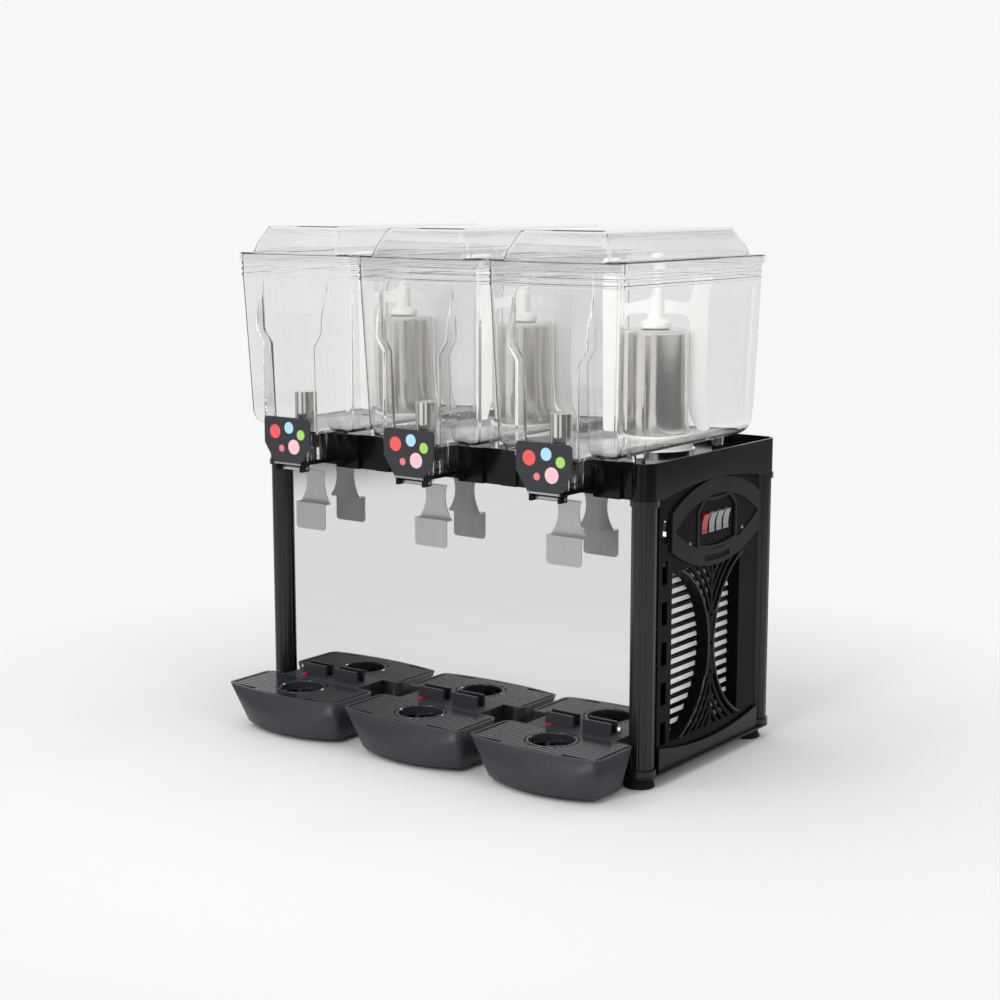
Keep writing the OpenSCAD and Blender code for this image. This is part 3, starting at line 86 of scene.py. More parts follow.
# %% Place the camera
EYE = Vector((1.4150, -1.8936, 0.7027))
AZIMUTH = math.radians(36.60)
ELEVATION = math.radians(9.50)
FOCAL_PIXELS = 1854
PICTURE_PIXELS = 1000
SENSOR = 36

camera = bpy.data.objects.new("camera", bpy.data.cameras.new("camera"))
bpy.context.scene.collection.objects.link(camera)
level = math.cos(ELEVATION)
back = Vector((math.sin(AZIMUTH) * level, -math.cos(AZIMUTH) * level, math.sin(ELEVATION)))
camera.location = EYE
camera.rotation_mode = "QUATERNION"
camera.rotation_quaternion = (-back).to_track_quat("-Z", "Y")
camera.data.sensor_width = SENSOR
camera.data.lens = FOCAL_PIXELS * SENSOR / PICTURE_PIXELS
camera.data.clip_end = 100
bpy.context.scene.camera = camera
print("lens in mm:", round(camera.data.lens, 2))

# %% [markdown]
# ## Studio
#
# The machine stands on a white table in soft light. The camera sees plain white all round, also
# through clear plastic, and a calmer grey lights the pieces. Shiny pieces look like metal only when
# they mirror something, so for mirrored rays the table stays white, and behind it stand bright and
# dark walls, as large lamps and black cards do in a real studio. The floor keeps a soft shadow near
# the machine and fades to plain white further off.

# %% Helpers for shader nodes
def math_node(tree, operation, first, second=None):
    """Output of a Math node whose inputs are sockets or numbers."""
    node = tree.nodes.new("ShaderNodeMath")
    node.operation = operation
    for index, value in enumerate((first, second)):
        if isinstance(value, (int, float)):
            node.inputs[index].default_value = value
        elif value is not None:
            tree.links.new(value, node.inputs[index])
    return node.outputs[0]


def between(tree, share, start, end):
    """Value that runs from start to end with share; each is a socket or a number."""
    blend = tree.nodes.new("ShaderNodeMix")
    for label, value in (("Factor", share), ("A", start), ("B", end)):
        if isinstance(value, (int, float)):
            blend.inputs[label].default_value = value
        else:
            tree.links.new(value, blend.inputs[label])
    return blend.outputs["Result"]


def rising(tree, value, reach):
    """Share that grows smoothly from 0 to 1 while value passes through reach."""
    smooth = tree.nodes.new("ShaderNodeMapRange")
    smooth.interpolation_type = "SMOOTHSTEP"
    smooth.inputs["From Min"].default_value = reach[0]
    smooth.inputs["From Max"].default_value = reach[1]
    tree.links.new(value, smooth.inputs["Value"])
    return smooth.outputs["Result"]


# %% Describe the studio's walls
# Each stop is a direction in degrees, from the machine's right towards its back, and a brightness.
WALLS = (
    (-180, 0.3), (-160, 0.5), (-137, 0.15), (-132, 0.2), (-126, 1.0), (-97, 1.0), (-88, 0.02),
    (-75, 0.02), (-70, 0.85), (-54, 0.85), (-48, 0.02), (40, 0.02), (56, 0.3), (74, 0.3),
    (88, 0.93), (165, 0.93), (180, 0.3),
)
# Going into a clear wall and out of it counts as two passes, so two walls make four.
NO_PASS, TWO_WALLS = 0.5, 3.5


def open_mirror(tree, path):
    """One for rays that a shiny face mirrored in the open, else nothing."""
    mirrors = math_node(tree, "GREATER_THAN", path.outputs["Glossy Depth"], 0.5)
    in_open = math_node(tree, "LESS_THAN", path.outputs["Transmission Depth"], NO_PASS)
    return math_node(tree, "MULTIPLY", mirrors, in_open)


def any_mirror(tree, path):
    """One for rays mirrored in the open or once behind clear walls, else nothing."""
    once = math_node(tree, "COMPARE", path.outputs["Glossy Depth"], 1.0)
    behind = math_node(tree, "GREATER_THAN", path.outputs["Transmission Depth"], TWO_WALLS)
    once_behind = math_node(tree, "MULTIPLY", once, behind)
    return math_node(tree, "MAXIMUM", open_mirror(tree, path), once_behind)


def wall_glow(tree, direction):
    """Brightness of the studio's walls in a direction, and the height of that direction."""
    parts = tree.nodes.new("ShaderNodeSeparateXYZ")
    tree.links.new(direction, parts.inputs[0])
    turn = math_node(tree, "ARCTAN2", parts.outputs["Y"], parts.outputs["X"])
    share = math_node(tree, "ADD", math_node(tree, "DIVIDE", turn, 2 * math.pi), 0.5)
    walls = tree.nodes.new("ShaderNodeValToRGB")
    tree.links.new(share, walls.inputs["Fac"])
    stops = walls.color_ramp.elements
    for stop, wall in zip((stops[0], stops[1]), (WALLS[0], WALLS[-1])):
        stop.color = (wall[1], wall[1], wall[1], 1)
    for angle, glow in WALLS[1:-1]:
        stops.new(angle / 360 + 0.5).color = (glow, glow, glow, 1)
    return walls.outputs["Color"], parts.outputs["Z"]


print("stops round the walls:", len(WALLS))

# %% Build the world
PAPER = 0.93
AMBIENT = 0.62
TOP_GLOW = 0.7
TOP_RISE = (0.3, 0.6)
world = bpy.data.worlds.new("studio")
bpy.context.scene.world = world
world.use_nodes = True
tree = world.node_tree
path = tree.nodes.new("ShaderNodeLightPath")
seen = math_node(tree, "MAXIMUM", path.outputs["Is Camera Ray"], path.outputs["Is Transmission Ray"])
seen = math_node(tree, "MAXIMUM", seen, path.outputs["Is Glossy Ray"])
walls, height = wall_glow(tree, tree.nodes.new("ShaderNodeTexCoord").outputs["Generated"])
walls = between(tree, rising(tree, height, TOP_RISE), walls, TOP_GLOW)
strength = between(tree, open_mirror(tree, path), between(tree, seen, AMBIENT, PAPER), walls)
tree.links.new(strength, tree.nodes["Background"].inputs["Strength"])
tree.nodes["Background"].inputs["Color"].default_value = (1, 1, 1, 1)
print("world nodes:", len(tree.nodes))

# %% Set the lamps
# Each lamp has a place in metres, a width, a power in watts, and shows in shiny pieces or not.
LAMPS = {
    "top_box": ((-0.5, -0.6, 2.6), 2.2, 13, True),
    "front_box": ((0.3, -2.7, 1.7), 0.6, 24, True),
    "left_box": ((-1.03, -1.48, 3.06), 0.4, 4, True),
    "right_box": ((1.0, 1.4, 3.0), 0.4, 4, True),
    "side_box": ((2.4, -0.5, 1.3), 0.6, 6, False),
}
MIDDLE = Vector((0, 0, 0.33))


def soft_box(name, place, width, power, in_mirrors):
    """Square lamp at place that looks at the machine's middle and shows in mirrors or not."""
    lamp = bpy.data.lights.new(name, "AREA")
    lamp.shape = "RECTANGLE"
    lamp.size = width
    lamp.size_y = width
    lamp.energy = power
    obj = bpy.data.objects.new(name, lamp)
    bpy.context.scene.collection.objects.link(obj)
    obj.location = place
    obj.rotation_mode = "QUATERNION"
    obj.rotation_quaternion = (MIDDLE - Vector(place)).to_track_quat("-Z", "Y")
    obj.visible_glossy = in_mirrors
    obj.visible_transmission = False


for name, (place, width, power, in_mirrors) in LAMPS.items():
    soft_box(name, place, width, power, in_mirrors)

# %% Lay the floor
FLOOR_SIZE = 12.0
SHADOW_REACH = (0.42, 1.0)
TABLE_REACH = (2.0, 2.8)
floor_mesh = bpy.data.meshes.new("floor")
half = FLOOR_SIZE / 2
corners = [(-half, -half, 0), (half, -half, 0), (half, half, 0), (-half, half, 0)]
floor_mesh.from_pydata(corners, [], [(0, 1, 2, 3)])
floor = bpy.data.objects.new("floor", floor_mesh)
bpy.context.scene.collection.objects.link(floor)
paper = bpy.data.materials.new("paper")
paper.use_nodes = True
tree = paper.node_tree
shader = tree.nodes["Principled BSDF"]
shader.inputs["Base Color"].default_value = (PAPER, PAPER, PAPER, 1)
shader.inputs["Roughness"].default_value = 0.9
shader.inputs["Specular IOR Level"].default_value = 0.0
glow = tree.nodes.new("ShaderNodeEmission")
place = tree.nodes.new("ShaderNodeTexCoord").outputs["Object"]
away = tree.nodes.new("ShaderNodeVectorMath")
away.operation = "LENGTH"
tree.links.new(place, away.inputs[0])
path = tree.nodes.new("ShaderNodeLightPath")
far = rising(tree, away.outputs["Value"], TABLE_REACH)
beyond = math_node(tree, "MULTIPLY", any_mirror(tree, path), far)
walls = wall_glow(tree, place)[0]
tree.links.new(between(tree, beyond, PAPER, walls), glow.inputs["Strength"])
mix = tree.nodes.new("ShaderNodeMixShader")
tree.links.new(rising(tree, away.outputs["Value"], SHADOW_REACH), mix.inputs["Fac"])
tree.links.new(shader.outputs["BSDF"], mix.inputs[1])
tree.links.new(glow.outputs["Emission"], mix.inputs[2])
tree.links.new(mix.outputs["Shader"], tree.nodes["Material Output"].inputs["Surface"])
floor.data.materials.append(paper)
print("floor", FLOOR_SIZE, "m wide")

# %% Let light pass many clear walls
scene_cycles = bpy.context.scene.cycles
scene_cycles.max_bounces = 64
scene_cycles.glossy_bounces = 32
scene_cycles.transmission_bounces = 64
scene_cycles.transparent_max_bounces = 64
bpy.context.scene.view_settings.view_transform = "Standard"
print("most bounces:", scene_cycles.max_bounces)

# %% [markdown]
# ## Shared surface effects
#
# Moulded plastic has a fine grain, rolled steel has long thin lines, and everything that is handled
# carries a faint uneven film. Each of these could be drawn in every material by hand. As all
# finishes share them, one shader group makes the three, with their sizes as inputs. It reads Object
# coordinates, so the pattern stays on the piece.

# %% Helpers for shader groups
def shader_group(name, inputs, outputs):
    """Empty shader group with float or vector inputs and float outputs."""
    group = bpy.data.node_groups.new(name, "ShaderNodeTree")
    for label, value in inputs.items():
        kind = "NodeSocketVector" if isinstance(value, tuple) else "NodeSocketFloat"
        group.interface.new_socket(label, in_out="INPUT", socket_type=kind).default_value = value
    for label in outputs:
        group.interface.new_socket(label, in_out="OUTPUT", socket_type="NodeSocketFloat")
    return group, group.nodes.new("NodeGroupInput"), group.nodes.new("NodeGroupOutput")


def noise(tree, vector, scale, detail):
    """Value of a noise texture whose scale is a socket."""
    node = tree.nodes.new("ShaderNodeTexNoise")
    node.inputs["Detail"].default_value = detail
    tree.links.new(vector, node.inputs["Vector"])
    tree.links.new(scale, node.inputs["Scale"])
    return node.outputs["Fac"]


# %% Build the group of lines, tone and film
GRAIN_SCALE = 900.0
BROAD = 0.13
PLAIN = (1.0, 1.0, 1.0)
surface_lines, given, result = shader_group(
    "surface_lines", {"Stretch": PLAIN, "Scale": GRAIN_SCALE, "Film Scale": 9.0},
    ("Height", "Tone", "Film"))
spot = surface_lines.nodes.new("ShaderNodeTexCoord").outputs["Object"]
stretched = surface_lines.nodes.new("ShaderNodeVectorMath")
stretched.operation = "MULTIPLY"
surface_lines.links.new(spot, stretched.inputs[0])
surface_lines.links.new(given.outputs["Stretch"], stretched.inputs[1])
fine = noise(surface_lines, stretched.outputs["Vector"], given.outputs["Scale"], 3.0)
coarse = math_node(surface_lines, "MULTIPLY", given.outputs["Scale"], BROAD)
broad = noise(surface_lines, stretched.outputs["Vector"], coarse, 2.0)
film = noise(surface_lines, spot, given.outputs["Film Scale"], 4.0)
surface_lines.links.new(fine, result.inputs["Height"])
surface_lines.links.new(broad, result.inputs["Tone"])
surface_lines.links.new(film, result.inputs["Film"])
print("shader group:", surface_lines.name)

# %% [markdown]
# ## Finishes
#
# Every finish is a Principled shader: two close colours that the group mixes, a roughness that
# wanders with the film and a bump from the grain or the rolling lines. Only the numbers differ from
# one finish to the next, so one function makes them all. The clear plastic is the exception: it
# bends light, and lets lamp light straight through so that the pieces inside stay lit.

# %% Helpers for finishes
FILM_LOW, FILM_HIGH = 0.3, 0.7


def linear(code):
    """Linear RGBA of a colour written as #rrggbb."""
    parts = [int(code[i:i + 2], 16) / 255 for i in (1, 3, 5)]
    return [p / 12.92 if p <= 0.04045 else ((p + 0.055) / 1.055) ** 2.4 for p in parts] + [1.0]


def finish(name, colour, second, roughness, wander, stretch=PLAIN, scale=GRAIN_SCALE, depth=0.02,
           metallic=0.0, specular=0.5):
    """Material whose colour and roughness wander with the film, with a bump from fine grain or lines."""
    material = bpy.data.materials.new(name)
    material.use_nodes = True
    tree = material.node_tree
    shader = tree.nodes["Principled BSDF"]
    shader.inputs["Metallic"].default_value = metallic
    shader.inputs["Specular IOR Level"].default_value = specular
    group = tree.nodes.new("ShaderNodeGroup")
    group.node_tree = surface_lines
    group.inputs["Stretch"].default_value = stretch
    group.inputs["Scale"].default_value = scale
    blend = tree.nodes.new("ShaderNodeMix")
    blend.data_type = "RGBA"
    blend.inputs["A"].default_value = linear(colour)
    blend.inputs["B"].default_value = linear(second)
    tree.links.new(group.outputs["Tone"], blend.inputs["Factor"])
    tree.links.new(blend.outputs["Result"], shader.inputs["Base Color"])
    rough = tree.nodes.new("ShaderNodeMapRange")
    rough.inputs["From Min"].default_value = FILM_LOW
    rough.inputs["From Max"].default_value = FILM_HIGH
    rough.inputs["To Min"].default_value = roughness - wander
    rough.inputs["To Max"].default_value = roughness + wander
    tree.links.new(group.outputs["Film"], rough.inputs["Value"])
    tree.links.new(rough.outputs["Result"], shader.inputs["Roughness"])
    bump = tree.nodes.new("ShaderNodeBump")
    bump.inputs["Strength"].default_value = 1.0
    bump.inputs["Distance"].default_value = depth * MM
    tree.links.new(group.outputs["Height"], bump.inputs["Height"])
    tree.links.new(bump.outputs["Normal"], shader.inputs["Normal"])
    return material


# %% Make the finishes
ROLLED_X = (0.03, 1.0, 1.0)
ROLLED_Z = (1.0, 1.0, 0.03)
TURNED = (0.06, 0.06, 1.0)
black_gloss = finish("black_gloss", "#08080a", "#0d0d0f", 0.14, 0.04, depth=0.004, specular=0.2)
black_satin = finish("black_satin", "#0d0e10", "#131416", 0.32, 0.06, depth=0.01, specular=0.25)
grille_black = finish("grille_black", "#0c0c0e", "#121214", 0.34, 0.05, depth=0.006, specular=0.04)
post_black = finish("post_black", "#16181b", "#1a1c20", 0.25, 0.03, depth=0.0, specular=0.4)
edge_black = finish("edge_black", "#17181a", "#1d1e20", 0.16, 0.03, depth=0.002, specular=0.5)
charcoal = finish("charcoal", "#1e1f22", "#27282b", 0.46, 0.05, scale=1500.0, depth=0.05, specular=0.12)
tray_grey = finish("tray_grey", "#2c2e33", "#36383d", 0.40, 0.06, scale=1300.0, depth=0.03, specular=0.4)
cover_grey = finish("cover_grey", "#2b2d31", "#34363b", 0.17, 0.04, scale=1300.0, depth=0.004, specular=0.4)
rubber = finish("rubber", "#0b0b0c", "#131314", 0.65, 0.08, depth=0.04, specular=0.3)
polished_steel = finish("polished_steel", "#dcdcdc", "#e2e2e2", 0.035, 0.015, ROLLED_X, 700.0, 0.0006, 1.0)
brushed_steel = finish("brushed_steel", "#e2dfd9", "#ebe8e3", 0.11, 0.03, TURNED, 700.0, 0.004, 1.0)
lever_steel = finish("lever_steel", "#aeadad", "#bbbaba", 0.34, 0.05, ROLLED_Z, 800.0, 0.006, 1.0)
bright_sheet = finish("bright_sheet", "#dfe1e3", "#eceded", 0.22, 0.05, ROLLED_X, 700.0, 0.004, 1.0)
louvre_sheet = finish("louvre_sheet", "#f1f2f3", "#f8f8f8", 0.32, 0.05, ROLLED_X, 700.0, 0.004, 0.15)
white_plastic = finish("white_plastic", "#f8f7f4", "#fcfbf9", 0.38, 0.05, depth=0.006, specular=0.45)
badge_face = finish("badge", "#2e3034", "#36383d", 0.42, 0.05, scale=1500.0, depth=0.01, specular=0.3)
red_plastic = finish("red_plastic", "#a5131b", "#b81922", 0.30, 0.05, depth=0.006)
rocker_grey = finish("rocker_grey", "#7f8184", "#8b8d90", 0.25, 0.04, depth=0.004)
motor_paint = finish("motor_paint", "#161719", "#222326", 0.48, 0.08, depth=0.02)
# Fin metal for the condenser; on the louvre sheets it is painted shade, darker than the bright hoods in
# front.
fin_metal_and_louvre_shade = finish("fin", "#8d9094", "#a3a6aa", 0.34, 0.06, ROLLED_X, 700.0, 0.01, 1.0)
print("finishes:", len(bpy.data.materials))

# %% Make the clear plastic
clear = bpy.data.materials.new("clear")
clear.use_nodes = True
tree = clear.node_tree
shader = tree.nodes["Principled BSDF"]
shader.inputs["Base Color"].default_value = linear("#f7f7f7")
shader.inputs["Roughness"].default_value = 0.015
shader.inputs["IOR"].default_value = 1.47
shader.inputs["Transmission Weight"].default_value = 1.0
through = tree.nodes.new("ShaderNodeBsdfTransparent")
through.inputs["Color"].default_value = linear("#fdfdfd")
path = tree.nodes.new("ShaderNodeLightPath")
mix = tree.nodes.new("ShaderNodeMixShader")
tree.links.new(path.outputs["Is Shadow Ray"], mix.inputs["Fac"])
tree.links.new(shader.outputs["BSDF"], mix.inputs[1])
tree.links.new(through.outputs["BSDF"], mix.inputs[2])
tree.links.new(mix.outputs["Shader"], tree.nodes["Material Output"].inputs["Surface"])
print("clear plastic bends light by", shader.inputs["IOR"].default_value)

# %% [markdown]
# ## Edges that catch the light
#
# A moulded or pressed edge is never a knife edge: it has a small round that shows as a thin bright
# line. The solids leave those rounds out. Rounding them one by one would be slow, so each such
# solid is copied, its loose triangles are merged, and a Bevel modifier finds and rounds every edge
# that turns sharply. The solid itself is hidden.

# %% Helpers for pieces
SHARP = math.radians(32)


def shown(name, mesh, material, body, replaces=()):
    """Piece made of a finished mesh, riding on a body, in place of the given nodes."""
    mesh.materials.clear()
    mesh.materials.append(material)
    mesh.polygons.foreach_set("use_smooth", [True] * len(mesh.polygons))
    mesh.set_sharp_from_angle(angle=SHARP)
    obj = bpy.data.objects.new(name, mesh)
    bpy.context.scene.collection.objects.link(obj)
    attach(obj, body)
    if replaces:
        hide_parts(*replaces)
    return obj


def round_edges(obj, width, segments=2):
    """Bevel modifier on the edges that turn sharply."""
    bevel = obj.modifiers.new("round_edges", "BEVEL")
    bevel.width = width * MM
    bevel.segments = segments
    bevel.limit_method = "ANGLE"
    bevel.angle_limit = SHARP
    bevel.miter_outer = "MITER_ARC"
    bevel.harden_normals = True


# %% Helpers for copies of solids
def as_mesh(bm, name):
    """Mesh made from a bmesh, which is freed."""
    mesh = bpy.data.meshes.new(name)
    bm.to_mesh(mesh)
    bm.free()
    return mesh


MERGE = 1e-5
FLAT = math.radians(0.5)


def merged_copy(node, join=True):
    """bmesh of a CAD node with its triangles merged and, unless it has holes, its flat faces joined."""
    source = frame["nodes"][node].data
    plain = bpy.data.meshes.new("plain")
    faces = [tuple(p.vertices) for p in source.polygons]
    plain.from_pydata([v.co for v in source.vertices], [], faces)
    bm = bmesh.new()
    bm.from_mesh(plain)
    bpy.data.meshes.remove(plain)
    bmesh.ops.remove_doubles(bm, verts=bm.verts, dist=MERGE)
    if join:
        bmesh.ops.dissolve_limit(bm, angle_limit=FLAT, verts=bm.verts, edges=bm.edges)
    return bm


def body_of(node):
    """Name of the body that a CAD node rides on."""
    return frame["nodes"][node]["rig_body"]


def softened(node, width, material, join=True):
    """Copy of a CAD node with round edges, shown in its place."""
    mesh = as_mesh(merged_copy(node, join), node)
    obj = shown(node + "_soft", mesh, material, body_of(node), (node,))
    round_edges(obj, width)


def repaint(node, material):
    """Gives a CAD node that stays on show its finish."""
    slots = frame["nodes"][node].data.materials
    slots.clear()
    slots.append(material)


# %% Round the edges of the cabinet's pieces
SOFT = {
    "deck": (0.9, black_gloss, "black_gloss"),
    "base_pan": (0.8, black_satin, "black_satin"),
    "thermostat_knob": (0.5, black_satin, "black_satin"),
    "switch_plate": (0.5, charcoal, "charcoal"),
    "blank_plate": (0.5, charcoal, "charcoal"),
    "side_grille_left": (0.4, grille_black, "black_satin"),
    "side_grille_right": (0.4, grille_black, "black_satin"),
    "tap_badges": (0.4, badge_face, "badge"),
    "switch_1": (0.6, red_plastic, "red_plastic"),
    "switch_2": (0.6, rocker_grey, "white_plastic"),
    "switch_3": (0.6, rocker_grey, "white_plastic"),
    "switch_4": (0.6, rocker_grey, "white_plastic"),
}
HOLED = ("switch_plate", "blank_plate", "side_grille_left", "side_grille_right")
for station in STATIONS:
    SOFT["lever_" + station] = (0.35, lever_steel, "brushed_steel")
    SOFT["piston_" + station] = (0.5, brushed_steel, "brushed_steel")
    SOFT["float_" + station] = (0.6, red_plastic, "red_plastic")
    SOFT["tray_" + station] = (0.9, tray_grey, "tray_grey")
    SOFT["tray_cover_" + station] = (0.4, cover_grey, "tray_grey")
for node, (width, material, slot) in SOFT.items():
    softened(node, width, material, node not in HOLED)
print("softened pieces:", len(SOFT))

# %% [markdown]
# ## Plates and plain solids
#
# The eye-shaped plates have a dark field inside their ring. A mask in the material could paint it,
# but its border would be soft. A thin sheet is grown from the plate's own flat faces there, so the
# border is the ring itself. The solids whose shape is right as it is stay on show, and only take
# their finish.

# %% Lay a dark field on the plates
PLATE_FACE, FIELD_T = 296.5, 0.15


def face_sheet(node, level, lift):
    """Thin sheet on those faces of a CAD node that lie in the plane x = level."""
    bm = merged_copy(node, False)
    others = [f for f in bm.faces if any(abs(v.co.x - level) > MERGE for v in f.verts)]
    bmesh.ops.delete(bm, geom=others, context="FACES")
    made = bmesh.ops.extrude_face_region(bm, geom=bm.faces[:])["geom"]
    raised = [v for v in made if isinstance(v, bmesh.types.BMVert)]
    bmesh.ops.translate(bm, verts=raised, vec=(lift, 0, 0))
    bmesh.ops.recalc_face_normals(bm, faces=bm.faces)
    return as_mesh(bm, node + "_gloss")


for node, side in (("switch_plate", 1), ("blank_plate", -1)):
    mesh = face_sheet(node, side * PLATE_FACE * MM, side * FIELD_T * MM)
    shown(node + "_gloss", mesh, grille_black, body_of(node))
print("thickness of the dark field in mm:", FIELD_T)

# %% Give the other solids their finish
PAINT = {
    "front_panel": polished_steel,
    "rear_panel": bright_sheet,
    "panel_screws": brushed_steel,
    # The louvre sheets take the darker fin metal instead of the hoods' bright metal, as painted shade in
    # the gaps between the hoods.
    "louvre_left": fin_metal_and_louvre_shade,
    "louvre_right": fin_metal_and_louvre_shade,
    "feet": rubber,
    "bowl_seals": white_plastic,
    "lever_pins": lever_steel,
    "compressor": motor_paint,
    "condenser": fin_metal_and_louvre_shade,
    "fan_motor": motor_paint,
    "fan_rotor": motor_paint,
    "stirrer_motors": motor_paint,
}
for station in STATIONS:
    PAINT["evaporator_" + station] = brushed_steel
    PAINT["drive_shaft_" + station] = brushed_steel
for corner in ("front_left", "front_right", "rear_left", "rear_right"):
    PAINT["post_" + corner] = post_black
for node, material in PAINT.items():
    repaint(node, material)
print("painted solids:", len(PAINT))

# %% [markdown]
# ## Bowls
#
# A bowl is blown or moulded in one piece: slightly drawn-in walls, a round lower edge, an upright
# nose in front of the tap and three ridges round the rim. It could be cut from boxes, but then the
# soft corners would be lost. Here one outline is drawn at many heights, first up the outside and
# then down the inside, and neighbouring outlines are joined. The tap sleeve, its ribs and the legs
# are joined on afterwards.

# %% Measure a bowl
# Sizes are in mm. NOSE_REST is how far the nose still stands out where it has faded away.
WALL = 3.0
BOWL_LOW, RIM_LOW, RIM_TOP = 398.0, 593.0, 621.0
FOOT_ROUND = 20.0
FOOT_STEPS = [math.radians(a) for a in range(0, 91, 15)]
FOOT_HALF, RIM_HALF = 86.5, 93.0
FOOT_FRONT, RIM_FRONT = -149.5, -156.5
FOOT_BACK, RIM_BACK = 166.5, 170.5
NOSE_FRONT = -168.5
NOSE_HALF, NOSE_WIDE = 45.0, 57.0
NOSE_STEP, NOSE_FLARE = 508.0, 526.0
NOSE_FADE, NOSE_END = 536.0, 592.0
NOSE_ROUND, NOSE_SHARE, NOSE_MITRE, NOSE_REST = 1.2, 0.4, 0.3, 0.05
BACK_STEP, STEP_OUT = 27.0, 1.4
STEP_RISE, STEP_FALL = (424.0, 440.0), (584.0, 591.0)
STEP_CURVE = ((-3.0, 0.0), (-1.5, 0.15), (0.5, 0.85), (2.0, 1.0))
UPPER = [*STEP_RISE, 475.0, NOSE_STEP, NOSE_FLARE, NOSE_FADE, 545.0, 554.0, 564.0, 574.0, 584.0, NOSE_END]
CORNER = 7.0
BACK_CORNER, BACK_INSIDE = 12.0, 6.0
RIDGE = ((0.0, 0.0), (0.4, 0.7), (1.1, 1.15), (2.0, 1.3), (2.9, 1.15), (3.6, 0.7), (4.0, 0.0))
RIDGE_LOWS = (RIM_LOW, 600.5, 608.0)
RIM_ROUND = 0.8
print("bowl height in mm:", RIM_TOP - BOWL_LOW)

# %% Draw a bowl's outline
# A narrow strip beside each round keeps the large faces next to it flat when they are shaded smooth.
STRIP = 1.0
CORNER_STEPS = 6


def ramp(value, low, high, start, end):
    """Value that runs straight from start at low to end at high."""
    share = min(max((value - low) / (high - low), 0.0), 1.0)
    return start + share * (end - start)


def corner_points(x, y, radius, start):
    """Quarter circle round (x, y) that starts at an angle in degrees."""
    angles = [math.radians(start + 90 * i / CORNER_STEPS) for i in range(CORNER_STEPS + 1)]
    return [(x + radius * math.cos(a), y + radius * math.sin(a)) for a in angles]


def mirrored(half):
    """Closed outline from the points of its right half, which start on the middle line."""
    return half + [(-x, y) for x, y in reversed(half[1:])]


def bowl_outline(z, inset, out=0.0):
    """Outline of a bowl at height z, drawn in by inset or swelled by out."""
    foot = BOWL_LOW + FOOT_ROUND
    draw = inset - out
    if z < foot:
        radius = FOOT_ROUND - inset
        draw += radius - math.sqrt(max(radius ** 2 - (foot - z) ** 2, 0.0))
    half = ramp(z, foot, RIM_LOW, FOOT_HALF, RIM_HALF) - draw
    front = ramp(z, foot, RIM_LOW, FOOT_FRONT, RIM_FRONT) + draw
    rear = ramp(z, foot, RIM_LOW, FOOT_BACK, RIM_BACK) - draw
    nose = ramp(z, NOSE_STEP, NOSE_FLARE, NOSE_HALF, NOSE_WIDE) - inset
    share = ramp(z, NOSE_FADE, NOSE_END, 0.0, 1.0)
    share = share * share * (3 - 2 * share)
    tip = NOSE_FRONT + inset + share * (front - NOSE_REST - NOSE_FRONT - inset)
    soft = min(NOSE_ROUND, (front - tip) * NOSE_SHARE)
    cut = NOSE_MITRE * soft
    radius = CORNER - inset + out
    points = [(0.0, tip), (nose - soft - STRIP, tip), (nose - soft, tip)]
    points += [(nose - cut, tip + cut), (nose, tip + soft)]
    points += [(nose, front - soft), (nose + cut, front - cut), (nose + soft, front)]
    points += [(nose + soft + STRIP, front), (half - radius - STRIP, front)]
    points += corner_points(half - radius, front + radius, radius, -90)
    points.append((half, front + radius + STRIP))
    radius = ramp(inset, 0.0, WALL, BACK_CORNER, BACK_INSIDE) + out
    step = ramp(z, *STEP_RISE, 0.0, STEP_OUT) * ramp(z, *STEP_FALL, 1.0, 0.0)
    step *= ramp(inset, 0.0, 1.0, 1.0, 0.0)
    points += [(half + part * step, rear - BACK_STEP + along) for along, part in STEP_CURVE]
    points += corner_points(half + step - radius, rear - radius, radius, 0)
    points.append((half + step - radius - STRIP, rear))
    return [Vector((x, y, z)) for x, y in mirrored(points)]


# %% Join outlines into a shell
CAN_Y, HOLE_R = 68.5, 46.8
JOIN_DISTANCE = 0.005


def hole_outline(outline, z):
    """Circle round the cooling can with one point for each point of an outline."""
    points = []
    for point in outline:
        angle = math.atan2(point.y - CAN_Y, point.x)
        points.append(Vector((HOLE_R * math.cos(angle), CAN_Y + HOLE_R * math.sin(angle), z)))
    return points


def joined_rings(name, rings, closed=False):
    """Mesh in mm that joins outlines one after the other, with caps at its ends unless it is closed."""
    bm = bmesh.new()
    loops = [[bm.verts.new(point) for point in ring] for ring in rings]
    pairs = list(zip(loops, loops[1:]))
    if closed:
        pairs.append((loops[-1], loops[0]))
    for first, second in pairs:
        for i in range(len(first)):
            j = (i + 1) % len(first)
            bm.faces.new((first[i], first[j], second[j], second[i]))
    if not closed:
        bm.faces.new(loops[0])
        bm.faces.new(loops[-1])
    bmesh.ops.remove_doubles(bm, verts=bm.verts, dist=JOIN_DISTANCE)
    bmesh.ops.recalc_face_normals(bm, faces=bm.faces)
    return as_mesh(bm, name)


def bowl_shell():
    """Walls, nose and rim of a bowl round x = 0."""
    edge = [FOOT_ROUND * (1 - math.cos(a)) for a in FOOT_STEPS]
    levels = [BOWL_LOW + rise for rise in edge]
    levels += UPPER + [RIM_LOW - 0.5]
    outside = [bowl_outline(z, 0.0) for z in levels]
    for low in RIDGE_LOWS:
        for rise, out in RIDGE:
            outside.append(bowl_outline(low + rise, 0.0, out))
    outside += [bowl_outline(RIM_TOP - RIM_ROUND, 0.0), bowl_outline(RIM_TOP, RIM_ROUND)]
    edge = [(FOOT_ROUND - WALL) * (1 - math.cos(a)) for a in FOOT_STEPS]
    levels = [BOWL_LOW + WALL + rise for rise in edge]
    levels += UPPER + [RIM_LOW, RIM_TOP - RIM_ROUND]
    inside = [bowl_outline(z, WALL) for z in levels]
    inside.append(bowl_outline(RIM_TOP, WALL - RIM_ROUND))
    rings = [hole_outline(outside[0], BOWL_LOW)] + outside + inside[::-1]
    rings.append(hole_outline(inside[0], BOWL_LOW + WALL))
    return joined_rings("bowl_shell", rings, closed=True)


